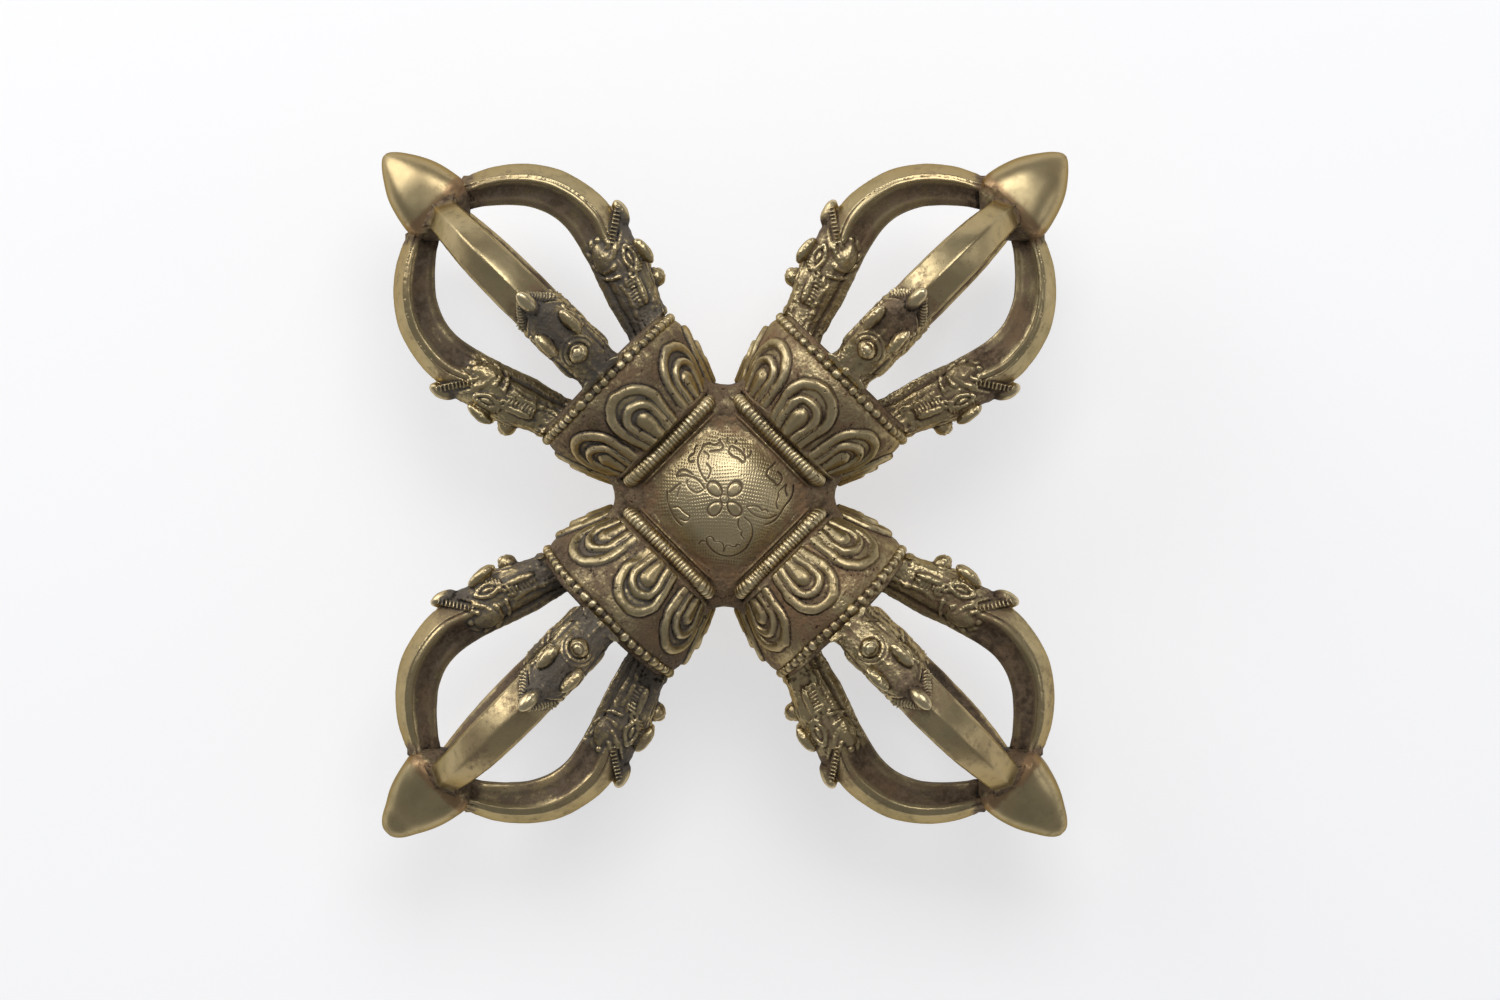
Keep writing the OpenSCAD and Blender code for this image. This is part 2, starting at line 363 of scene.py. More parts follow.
def brass(name, patina, polish, bump, pits, mottling):
    """Worn cast brass. The vertex colours carry cavity, wear, stipple and dark."""
    m = bpy.data.materials.new(name)
    m.use_nodes = True
    t = m.node_tree
    t.nodes.clear()

    def nd(kind, **kw):
        n = t.nodes.new(kind)
        for k, v in kw.items():
            setattr(n, k, v)
        return n

    def link(a, b):
        t.links.new(a, b)

    def val(x, socket):
        if isinstance(x, (int, float)):
            socket.default_value = x
        else:
            link(x, socket)

    def math_(op, a, b=0.0, clamp=False):
        n = nd("ShaderNodeMath", operation=op, use_clamp=clamp)
        val(a, n.inputs[0])
        val(b, n.inputs[1])
        return n.outputs[0]

    def about(x, gain):
        """x around its middle, times gain"""
        return math_("MULTIPLY", math_("SUBTRACT", x, 0.5), gain)

    def ramp(x, lo, hi):
        n = nd("ShaderNodeMapRange", interpolation_type="SMOOTHSTEP")
        val(x, n.inputs["Value"])
        n.inputs["From Min"].default_value = lo
        n.inputs["From Max"].default_value = hi
        return n.outputs["Result"]

    def mix(f, a, b):
        n = nd("ShaderNodeMix", data_type="RGBA")
        val(f, n.inputs[0])
        for x, s in ((a, n.inputs[6]), (b, n.inputs[7])):
            if isinstance(x, tuple):
                s.default_value = x + (1.0,)
            else:
                link(x, s)
        return n.outputs[2]

    def noise_(scale, detail=4.0, rough=0.6):
        n = nd("ShaderNodeTexNoise")
        link(coord, n.inputs["Vector"])
        n.inputs["Scale"].default_value = scale
        n.inputs["Detail"].default_value = detail
        n.inputs["Roughness"].default_value = rough
        return n.outputs["Fac"]

    coord = nd("ShaderNodeTexCoord").outputs["Object"]
    pat = nd("ShaderNodeAttribute", attribute_name="pat")
    sep = nd("ShaderNodeSeparateColor")
    link(pat.outputs["Color"], sep.inputs[0])
    cav, wear, stip = sep.outputs[0], sep.outputs[1], sep.outputs[2]
    dark = pat.outputs["Alpha"]
    red = nd("ShaderNodeAttribute", attribute_name="red").outputs["Fac"]

    cloud = noise_(38, 3, 0.5)
    blotch = noise_(120, 5, 0.62)
    mottle = noise_(480, 5, 0.68)
    grain = noise_(1900, 4, 0.65)

    # patina: dark ground and hollows, rubbed off the highs; the dark channel also brings in some painted shade (round
    # the snout nubs, on the lower points)
    p = math_("ADD", math_("MULTIPLY", cav, 1.0), dark)
    p = math_("ADD", p, patina)
    p = math_("ADD", p, about(cloud, 0.5 * mottling))
    p = math_("ADD", p, about(blotch, 0.9 * mottling))
    p = math_("ADD", p, about(mottle, 0.9 * mottling))
    p = math_("ADD", p, about(grain, 0.4 * mottling))
    p = math_("SUBTRACT", p, math_("MULTIPLY", wear, 0.8))
    brown = ramp(p, 0.04, 0.60)
    black = ramp(math_("ADD", p, about(grain, 0.9)), 0.70, 1.35)
    pit = math_("MULTIPLY", ramp(math_("ADD", mottle, about(grain, 0.5)), 0.60, 0.72), pits)

    gold = mix(ramp(blotch, 0.35, 0.65), (0.470, 0.374, 0.208), (0.372, 0.302, 0.168))
    gold = mix(ramp(cloud, 0.42, 0.62), gold, (0.440, 0.338, 0.180))
    gold = mix(ramp(wear, 0.25, 1.0), gold, (0.72, 0.60, 0.380))
    earth = mix(ramp(mottle, 0.36, 0.68), (0.078, 0.053, 0.035), (0.225, 0.162, 0.106))
    earth = mix(ramp(blotch, 0.45, 0.75), earth, (0.210, 0.137, 0.078))
    base = mix(brown, gold, earth)
    stain = ramp(math_("ADD", math_("ADD", red, about(mottle, 0.9)), about(blotch, 0.8)), 0.25, 0.9)
    base = mix(math_("MULTIPLY", stain, 0.72), base, (0.278, 0.165, 0.086))
    cool = ramp(math_("SUBTRACT", about(mottle, 0.5), red), -0.05, 0.60)
    base = mix(math_("MULTIPLY", math_("MULTIPLY", cool, brown), 0.80), base, (0.122, 0.114, 0.099))
    base = mix(black, base, (0.020, 0.016, 0.013))
    base = mix(pit, base, (0.040, 0.029, 0.020))

    rough = math_("ADD", math_("MULTIPLY", brown, 0.28), polish)
    rough = math_("ADD", rough, about(mottle, 0.20))
    rough = math_("ADD", rough, math_("MULTIPLY", pit, 0.2))
    rough = math_("ADD", rough, about(grain, 0.12), clamp=True)
    metal = math_("SUBTRACT", 1.0, math_("MULTIPLY", brown, 0.60), clamp=True)

    # fine surface: pits, punched ground, grain
    vor = nd("ShaderNodeTexVoronoi", feature="F1")
    link(coord, vor.inputs["Vector"])
    vor.inputs["Scale"].default_value = 1050.0
    dots = math_("MULTIPLY", ramp(vor.outputs["Distance"], 0.1, 0.6), stip)
    coarse = math_("ADD", math_("MULTIPLY", grain, 0.35), math_("MULTIPLY", mottle, 0.55))
    coarse = math_("MULTIPLY", coarse, math_("ADD", math_("MULTIPLY", stip, 1.1), 0.42))
    height = math_("ADD", math_("MULTIPLY", dots, 1.5), coarse)
    height = math_("SUBTRACT", height, math_("MULTIPLY", pit, 0.7))
    bm = nd("ShaderNodeBump")
    bm.inputs["Strength"].default_value = bump
    bm.inputs["Distance"].default_value = 0.00025
    link(height, bm.inputs["Height"])

    b = nd("ShaderNodeBsdfPrincipled")
    link(base, b.inputs["Base Color"])
    link(rough, b.inputs["Roughness"])
    link(metal, b.inputs["Metallic"])
    b.inputs["Specular IOR Level"].default_value = 0.25
    b.inputs["Specular Tint"].default_value = (0.46, 0.38, 0.26, 1.0)
    link(bm.outputs["Normal"], b.inputs["Normal"])
    out = nd("ShaderNodeOutputMaterial")
    link(b.outputs[0], out.inputs["Surface"])
    return m


MAT_PRONG = brass("worn_brass_prong", 0.08, 0.31, 0.34, 0.12, 0.80)
MAT_POINT = brass("worn_brass_point", 0.07, 0.35, 0.24, 0.10, 0.65)
MAT_CAST = brass("worn_brass_cast", 0.16, 0.38, 0.65, 1.0, 1.1)
MAT_BOSS = brass("worn_brass_boss", 0.02, 0.36, 0.42, 0.25, 0.7)


def looks(V, F, dark, stip, red, fine=(4, 26), scale=(0.05, 0.22), wear_gain=1.0):
    """Cavity and wear from the relief, with the given ground values."""
    f, c = relief_of(V, F, fine)
    cav = np.clip(-f / scale[0], 0, 1) * 0.55 + np.clip(-c / scale[1], 0, 1) * 0.75
    wear = np.clip(f / scale[0], 0, 1) * 0.5 + np.clip(c / scale[1], 0, 1) * 0.7
    return stack_look(np.clip(cav, 0, 1), np.clip(wear * wear_gain, 0, 1), stip, dark, red)


def stack_look(cav, wear, stip, dark, red):
    n = np.asarray(cav).shape
    return np.stack([np.broadcast_to(np.asarray(x, float), n) for x in (cav, wear, stip, dark, red)], 1).copy()


# ---------------------------------------------------------------- outer prong

INNER = [
    (40, 9.8), (44, 10.8), (50, 12.2), (55, 13.5), (60, 15.2), (65, 16.9), (70, 18.3),
    (74, 19.05), (77, 19.15), (80, 18.7), (83, 17.6), (86, 15.9), (89, 13.3), (91.5, 10.7),
    (94, 7.8), (95.8, 5.6), (97.6, 3.3), (98.6, 2.0),
]
OUTER = [
    (40, 17.0), (46, 19.0), (52, 21.6), (58, 24.6), (64, 27.9), (68, 29.9), (71, 30.8),
    (75, 31.05), (80, 30.4), (85, 29.0), (88.5, 27.3), (92.5, 24.4), (96, 20.9), (98.8, 17.0),
    (100.5, 13.6), (101.5, 11.0), (102.0, 8.8), (102.2, 6.5),
]
CROWN = [
    (42, 21.2), (43.5, 21.9), (45, 22.8), (47, 24.0), (49, 25.1), (51, 26.0), (53, 26.8), (55, 27.5),
    (57, 28.2), (59, 28.8), (61, 29.3), (62.3, 29.7), (63.4, 30.2), (65, 30.6), (66.8, 31.4), (68.2, 32.0),
    (69.5, 32.2), (70.6, 31.9), (71.3, 31.3), (72.2, 30.2),
]


def prong_shape(h):
    a = np.arange(42.4, 103.8, h)
    r = np.arange(2.4, 34.8, h)
    w = np.arange(0, 8.0, h)
    A2, R2 = np.meshgrid(a, r, indexing="ij")
    inner, outer = spline(INNER, 8), spline(OUTER, 8)
    d_in, _ = side_of(A2, R2, inner)
    d_out, a_out = side_of(A2, R2, outer)
    d_out = -d_out
    v = np.clip(d_in / np.maximum(d_in + d_out, 1.0), -0.1, 1.1)
    # the end lies inside the point's base
    d_end = np.maximum((A2 - 96.8) * 0.707 - (R2 - 4.6) * 0.707, A2 - 102.6)
    d_base = -0.611 * (A2 - 97.0) + 0.791 * (R2 - 6.2)
    half = np.interp(a_out, [44, 50, 60, 72, 80, 88, 95, 99, 101.6], [5.2, 5.4, 5.7, 5.8, 5.7, 5.5, 5.05, 4.7, 4.4])
    roof = np.linspace(0.72, 1.0, 20)
    share_v = np.concatenate(
        [[-0.1, 0.0, 0.05, 0.11, 0.165, 0.20, 0.27, 0.36, 0.45, 0.51, 0.55, 0.58, 0.615, 0.65, 0.675, 0.695], roof]
    )
    share_w = np.concatenate(
        [[0.36, 0.43, 0.475, 0.53, 0.565, 0.555, 0.585, 0.655, 0.775, 0.885, 0.965, 1.0, 1.01, 0.985, 0.94, 0.885],
         0.955 * (1 - (roof - 0.72) / 0.28) ** 0.86]
    )
    wide_bar = half * np.interp(v, share_v, share_w)

    crown = spline(CROWN, 8)
    top = np.interp(a, crown[:, 0], crown[:, 1])[:, None]
    low = np.interp(a, inner[:, 0], inner[:, 1])[:, None]
    vh = (R2 - low) / np.maximum(top - low, 1.0)
    half_h = np.interp(a, [43, 47, 51, 55, 60, 64, 68, 71], [5.0, 5.2, 5.5, 5.8, 5.9, 5.75, 5.2, 4.3])[:, None]
    stop = [-0.1, 0, 0.1, 0.17, 0.205, 0.26, 0.4, 0.55, 0.66, 0.76, 0.85, 0.92, 0.97, 1.0, 1.1]
    blunt = np.interp(vh, stop, [0.36, 0.43, 0.49, 0.56, 0.80, 0.90, 0.97, 1.0, 0.98, 0.94, 0.86, 0.70, 0.46, 0.0, -0.4])
    wedge = np.interp(vh, stop, [0.36, 0.43, 0.49, 0.56, 0.80, 0.90, 0.97, 0.94, 0.82, 0.66, 0.48, 0.34, 0.21, 0.0, -0.4])
    wide_head = half_h * (blunt + (wedge - blunt) * smoothstep(61, 66, a)[:, None])
    d_mouth = (A2 - 65.2) * 0.832 - (R2 - 24.0) * 0.555
    u_mouth = (A2 - 65.2) * 0.555 + (R2 - 24.0) * 0.832

    def lift3(x):
        return x[:, None, :]

    A = a[:, None, None]
    W = w[None, :, None]
    R = r[None, None, :]

    def level(f):
        g = np.gradient(f, h)
        return f / np.maximum(np.sqrt(g[0] ** 2 + g[1] ** 2 + g[2] ** 2), 0.35)

    start = 42.9 - A
    bar = np.maximum(W - lift3(wide_bar), np.maximum(-lift3(d_in), -lift3(d_out)))
    bar = level(np.maximum(np.maximum(bar, lift3(d_end)), start))
    head = np.maximum(W - lift3(wide_head), np.maximum(lift3(d_mouth), lift3(low - R2)))
    head = level(np.maximum(head, start))
    f = smin(bar, head, 0.4)

    def box(lo, hi):
        s = []
        for axis, p, q in ((a, lo[0], hi[0]), (w, lo[1], hi[1]), (r, lo[2], hi[2])):
            i0 = max(int(np.searchsorted(axis, p)) - 1, 0)
            i1 = min(int(np.searchsorted(axis, q)) + 1, len(axis))
            s.append(slice(i0, i1))
        return tuple(s), a[s[0]][:, None, None], w[s[1]][None, :, None], r[s[2]][None, None, :]

    ground = f.copy()

    def skin(pa, pr):
        """Half width of the plain head's surface at a place on its side."""
        i = min(max(int(round((pa - a[0]) / h)), 0), len(a) - 1)
        k = min(max(int(round((pr - r[0]) / h)), 0), len(r) - 1)
        col = ground[i, :, k]
        m = np.nonzero(col < 0)[0]
        return w[m[-1]] + 0.5 * h if len(m) else 0.0

    def egg(c, axes, rad, k=0.12, carve=False):
        ext = max(rad) + 0.8
        s, x, y, z = box([q - ext for q in c], [q + ext for q in c])
        u = [(x - c[0]) * e[0] + (y - c[1]) * e[1] + (z - c[2]) * e[2] for e in axes]
        k0 = np.sqrt(sum((q / p) ** 2 for q, p in zip(u, rad)))
        k1 = np.sqrt(sum((q / (p * p)) ** 2 for q, p in zip(u, rad)))
        d = k0 * (k0 - 1) / np.maximum(k1, 1e-6)
        f[s] = -smin(-f[s], d, k) if carve else smin(f[s], d, k)

    def rod(p, q, r0, r1=None, k=0.10):
        r1 = r0 if r1 is None else r1
        ext = max(r0, r1) + 0.6
        s, x, y, z = box([min(i, j) - ext for i, j in zip(p, q)], [max(i, j) + ext for i, j in zip(p, q)])
        d = [j - i for i, j in zip(p, q)]
        L = sum(i * i for i in d)
        t = np.clip(((x - p[0]) * d[0] + (y - p[1]) * d[1] + (z - p[2]) * d[2]) / L, 0, 1)
        dist = np.sqrt((x - p[0] - t * d[0]) ** 2 + (y - p[1] - t * d[1]) ** 2 + (z - p[2] - t * d[2]) ** 2)
        f[s] = smin(f[s], dist - (r0 + (r1 - r0) * t), k)

    def on_side(points, r0, r1=None, out=-0.1, k=0.12):
        """A raised line on the head's side through (along, off the axis) points."""
        P = spline(points, 4)
        n = len(P) - 1
        r1 = r0 if r1 is None else r1
        for i in range(n):
            q0, q1 = r0 + (r1 - r0) * i / n, r0 + (r1 - r0) * (i + 1) / n
            rod((P[i][0], skin(*P[i]) + out, P[i][1]), (P[i + 1][0], skin(*P[i + 1]) + out, P[i + 1][1]), q0, q1, k)

    I3 = ((1, 0, 0), (0, 1, 0), (0, 0, 1))
    # cheek
    egg((62.8, 4.2, 20.7), ((0.95, 0, 0.31), (0, 1, 0), (-0.31, 0, 0.95)), (4.3, 2.0, 3.0), 0.6)
    # brows: long smooth ovals over the eyes
    lean = ((0.99, 0.0, 0.12), (0.08, 0.74, -0.67), (-0.09, 0.67, 0.74))
    egg((57.5, 4.1, 28.7), lean, (3.8, 1.42, 1.80), 0.22)
    # whorl on the crest, with arcs in front of it
    egg((50.7, 0, 26.2), I3, (2.45, 2.45, 2.6), 0.30)
    rho = np.sqrt((A - 50.7) ** 2 + W**2)
    fore = smoothstep(-0.45, 0.0, (A - 50.7) / np.maximum(rho, 0.2)) * (R > 22)
    arcs = (np.exp(-(((rho - 3.15) / 0.5) ** 2)) + 0.5 * np.exp(-(((rho - 4.3) / 0.4) ** 2))) * fore
    cuts = (np.exp(-(((rho - 2.5) / 0.22) ** 2)) + np.exp(-(((rho - 3.8) / 0.2) ** 2))) * fore
    f -= 0.60 * arcs - 0.06 * cuts
    curl = np.exp(-(((rho - 1.25 - 0.4 * (A - 50.7) / np.maximum(rho, 0.3)) / 0.22) ** 2)) * (R > 26.6)
    f += 0.28 * curl
    # ribbed lip along the mouth, a groove behind it and a plain roll after that
    band = smoothstep(-1.85, -1.45, d_mouth) * (1 - smoothstep(-0.3, 0.1, d_mouth)) * smoothstep(23.6, 24.8, R2)
    f -= lift3(band * (0.36 + 0.34 * np.cos(2 * np.pi * u_mouth / 1.0)))
    f += 0.26 * lift3(np.exp(-(((d_mouth + 2.15) / 0.30) ** 2)) * smoothstep(24.2, 25.2, R2)) * smoothstep(1.8, 3.2, W)
    f -= 0.32 * lift3(np.exp(-(((d_mouth + 2.85) / 0.42) ** 2)) * smoothstep(23.6, 25.4, R2) * (1 - smoothstep(31, 32.6, R2))) * smoothstep(2.4, 3.8, W)
    # snout: a smooth gabled end
    rise = ((0.93, 0, 0.37), (0, 1, 0), (-0.37, 0, 0.93))
    egg((68.1, 0, 31.4), rise, (3.6, 1.85, 1.9), 0.55)

    def ridge(points, r0, r1):
        on_side(points, r0, r1, -0.2, 0.35)

    # eye: two lids that meet in points, a ball and a row of lashes on the outer side
    c, e0, e1 = np.array([58.5, 25.2]), np.array([0.92, 0.39]), np.array([-0.39, 0.92])
    for lid, thick in ((-1.45, 0.60), (1.35, 0.50)):
        on_side([c + 3.3 * t * e0 + lid * (1 - t * t) * e1 for t in np.linspace(-1, 1, 7)], thick, None, -0.12, 0.25)
    egg((c[0], skin(*c) - 0.15, c[1]), ((0.92, 0, 0.39), (0, 1, 0), (-0.39, 0, 0.92)), (1.7, 0.85, 0.75), 0.15)
    for t in np.linspace(-1.05, 0.75, 9):
        p0 = c + 3.3 * t * e0 + (1.35 * (1 - t * t) + 0.5) * e1
        on_side([p0 - 0.3 * e1, p0 + 0.3 * e1, p0 + 1.0 * e1], 0.42, 0.36, 0.08)
    # volute under the eye
    c = np.array([55.3, 22.6])
    on_side([c + (1.25 - 0.13 * q) * np.array([math.cos(q), math.sin(q)]) for q in np.linspace(0.3, 6.6, 9)], 0.50, 0.42, -0.05, 0.2)
    # fin: a plain leaf with a comb of short ribs on its inner side
    c, e0, e1 = np.array([51.2, 21.0]), np.array([0.92, 0.39]), np.array([-0.39, 0.92])
    egg((c[0] - 0.2, skin(*c) - 0.2, c[1] + 0.5), ((0.92, 0, 0.39), (0, 1, 0), (-0.39, 0, 0.92)), (4.0, 1.15, 1.1), 0.25)
    for t in np.linspace(-1, 1, 8):
        p0 = c + 3.3 * t * e0 - 0.4 * e1
        on_side([p0, p0 - 0.8 * e1 - 0.15 * e0, p0 - 1.7 * e1 - 0.4 * e0], 0.50, 0.42, -0.05, 0.15)
    ridge([c + 3.9 * t * e0 - (2.6 - 0.6 * t * t) * e1 for t in np.linspace(-1, 1, 5)], 0.45, 0.45)
    # second, flatter feather on the inner side, and swirls of the jaw
    ridge([(47.0, 16.2), (49.5, 17.4), (52.2, 18.2), (55.0, 18.6)], 0.55, 0.45)
    egg((66.2, skin(66.2, 21.2) - 0.25, 21.2), I3, (2.3, 0.85, 1.9), 0.5)
    egg((67.2, skin(67.2, 22.6) - 0.05, 22.6), I3, (0.95, 0.8, 0.95), 0.2)
    ridge([(65.0, 24.2), (64.3, 22.8), (64.6, 21.2), (65.8, 20.0), (67.2, 19.6)], 0.55, 0.40)
    ridge([(63.4, 25.0), (62.0, 22.9), (61.9, 20.4), (63.6, 18.6), (66.4, 18.4)], 0.75, 0.5)
    ridge([(59.9, 21.2), (60.0, 19.2), (61.5, 17.6), (63.4, 17.2)], 0.65, 0.45)
    ridge([(57.0, 20.2), (57.8, 18.4), (59.4, 17.0)], 0.60, 0.45)
    # foot at the collar, brazing at the point, and cast roughness
    P = np.stack(np.broadcast_arrays(A, W, R), -1).reshape(-1, 3)
    rough = fbm(P, 0.9, 2, 5).reshape(f.shape)
    lump = fbm(P + 50, 0.45, 2, 9).reshape(f.shape)
    cast = 1 - smoothstep(63, 70, A)
    neck = 1 - smoothstep(45, 50, A)
    f -= cast * (0.10 + 0.16 * neck) * rough + cast * (0.15 + 0.18 * neck) * lump
    f += 0.45 * np.exp(-(((A - 63.6) / 2.4) ** 2)) * (R > 27) * (W < 4.5) * np.clip(rough + 0.1, 0, 1)
    f -= 0.7 * np.exp(-np.maximum(A - 43.5, 0) / 1.0)
    braze = np.exp(-lift3(np.maximum(d_base, 0)) / 1.6)
    f -= braze * (0.55 + 0.9 * lump + 0.35 * rough)
    full = np.concatenate([f[:, :0:-1, :], f], 1)
    V, F = surface_nets(full, (a[0], -w[-1], r[0]), h)
    # hammered and filed bars are smooth
    E = edges_of(F)
    filed = (smoothstep(70, 74, V[:, 0]) * (1 - smoothstep(96, 99, V[:, 0])))[:, None]
    for _ in range(7):
        V = V + 0.5 * filed * (around(V, E) - V)
    # look values
    dm = (V[:, 0] - 65.2) * 0.832 - (V[:, 2] - 24.0) * 0.555
    dm = np.where(V[:, 2] < 24, np.minimum(dm, (V[:, 0] - 68.0) * 0.8), dm)
    is_head = 1 - smoothstep(-0.1, 1.2, dm)
    ia = np.clip(np.round((V[:, 0] - a[0]) / h).astype(int), 0, len(a) - 1)
    ir = np.clip(np.round((V[:, 2] - r[0]) / h).astype(int), 0, len(r) - 1)
    return V, F, is_head, v[ia, ir], -d_base[ia, ir]


PV, PF, P_HEAD, P_V, P_END = prong_shape(0.255)


def prong_look():
    a, w, r = PV[:, 0], np.abs(PV[:, 1]), PV[:, 2]
    inner = (1 - smoothstep(0.46, 0.58, P_V)) * (1 - 0.75 * P_HEAD)
    bridge = P_HEAD * np.exp(-(((a - 63.4) / 2.9) ** 2)) * (r > 26.5) * (1 - smoothstep(2.5, 5, w) * 0.6)
    between = P_HEAD * np.exp(-(((a - 57.5) / 4.0) ** 2)) * (r > 26) * (1 - smoothstep(2.0, 3.2, w))
    neck = P_HEAD * (1 - smoothstep(45.5, 51, a))
    mouth = (1 - P_HEAD) * (1 - smoothstep(70, 77, a))
    tip = smoothstep(-4.5, -0.3, P_END)
    dark = 0.12 * P_HEAD + 0.36 * inner + 0.50 * bridge + 0.25 * between + 0.14 * neck + 0.22 * mouth + 0.50 * tip
    stip = np.clip(P_HEAD * (0.55 + 0.45 * bridge + 0.3 * neck), 0, 1)
    red = 0.40 * mouth * (1 - inner) + 0.45 * tip + 0.10 * P_HEAD
    polish = (1 - P_HEAD) * (1 - inner) * (1 - tip)
    L = looks(PV, PF, dark, stip, red, fine=(6, 28), scale=(0.13, 0.45), wear_gain=0.85)
    L[:, 1] = np.clip(L[:, 1] * (1 - 0.85 * polish) + 0.08 * polish, 0, 1)
    L[:, 0] = L[:, 0] * (1 - 0.35 * polish)
    q = np.sqrt(((a - 68.9) / 2.9) ** 2 + (w / 1.6) ** 2)
    snout = (1 - smoothstep(0.75, 1.15, q)) * (r > 30.5)
    # painted shade: a dark ring round the snout nub, so that it stands out from the head
    L[:, 3] += 0.35 * np.exp(-(((q - 1.45) / 0.30) ** 2)) * (r > 29.5) * P_HEAD
    brow = np.exp(-(((a - 58.2) / 3.2) ** 2 + ((w - 4.3) / 1.5) ** 2)) * (r > 26.8)
    ball = np.exp(-(((a - 50.7) / 1.6) ** 2 + (w / 1.6) ** 2)) * (r > 25.4)
    rub = np.clip(1.2 * snout + 0.45 * brow + 0.7 * ball, 0, 1)
    L[:, 1] = np.clip(L[:, 1] + 0.32 * rub, 0, 1)
    L[:, 2] *= 1 - 0.85 * rub
    L[:, 3] *= 1 - 0.55 * rub
    L[:, 0] *= 1 - 0.5 * rub
    L[:, 1] *= 1 - 0.7 * tip
    return L


PL = prong_look()
# how dark each arm's cast parts have gone
MOOD = {"east": -0.04, "north": 0.12, "west": 0.12, "south": -0.08}
# the necks under the heads, the collars and the wound rings on each arm
NECK = {"east": -0.20, "north": 0.04, "west": 0.12, "south": -0.18}
COLLAR = {"east": -0.06, "north": -0.04, "west": 0.10, "south": -0.08}
ROPE = {"east": -0.14, "north": -0.45, "west": -0.14, "south": -0.34}
# the bars, duller on the lower arms
BAR = {"east": 0.0, "north": 0.02, "west": 0.04, "south": 0.09}
# two heads that have been rubbed cleaner than the rest
RUBBED = {"north_prong_left": 0.32, "south_prong_right": 0.14}
# and how grey, not red, their brown is
COOL = {"east": 0.0, "north": 0.50, "west": 0.45, "south": 0.0}
SIDES = [("front", 0), ("back", 180), ("left", -90), ("right", 90)]


def build_prongs():
    for arm, i, roll in ARMS:
        for s, (side, turn) in enumerate(SIDES):
            seed = 10 * i + s
            # hand work: each prong is a little different
            P = PV.copy()
            free = smoothstep(44.5, 60, P[:, 0]) * smoothstep(0.5, 16, -P_END)
            shift = np.array([noise(np.array([[seed * 3.1 + 11 * k, 2.0 * k, 1.0]]), 1.0, 50 + k)[0] for k in range(3)])
            P += free[:, None] * shift * np.array([0.35, 0.5, 0.0])
            P += (0.06 + 0.14 * P_HEAD)[:, None] * np.stack([fbm(P + 40 * k, 0.30, 2, 60 + seed + k) for k in range(3)], 1)
            P[:, 2] = np.minimum(P[:, 2], 33.62)
            L = PL.copy()
            age = np.clip(0.5 + 0.5 * fbm(P + 13 * seed, 0.12, 2, 90 + seed), 0, 1)
            neck = P_HEAD * (1 - smoothstep(46, 53, P[:, 0]))
            tone = max(MOOD[arm], 0.03) - RUBBED.get(f"{arm}_prong_{side}", 0.0)
            L[:, 3] = L[:, 3] * (0.6 + 0.8 * age) + 0.18 * (age - 0.5) + tone * P_HEAD + NECK[arm] * neck + BAR[arm] * (1 - P_HEAD)
            L[:, 4] -= COOL[arm] * (0.3 + 0.7 * P_HEAD) + 0.10 * P_HEAD
            add_piece(
                f"{arm}_prong_{side}_cast", f"{arm}_prong_{side}", P, PF, L,
                MAT_PRONG, arm_turn(i, roll) @ np.round(rot_x(turn), 12),
            )


# ---------------------------------------------------------------- collar


def uneven(x, y, r1, r2, h):
    """Distance to a round-ended wedge along x, from radius r1 at 0 to r2 at h."""
    y = np.abs(y)
    b = (r1 - r2) / h
    c = math.sqrt(1 - b * b)
    k = c * x - b * y
    mid = c * y + b * x - r1
    return np.where(k < 0, np.hypot(x, y) - r1, np.where(k > c * h, np.hypot(x - h, y) - r2, mid))


FLARE = [(21.35, 14.0), (21.4, 15.9), (22.0, 17.0), (25, 18.4), (28.5, 19.9), (32, 21.2), (35.5, 22.0), (38, 22.25), (39.3, 22.1)]


def rim_wave(y, z, seed):
    """How far the rim's line strays along the arm."""
    return 0.55 * fbm(np.stack([0 * y, y, z], 1), 0.07, 2, 250 + seed)


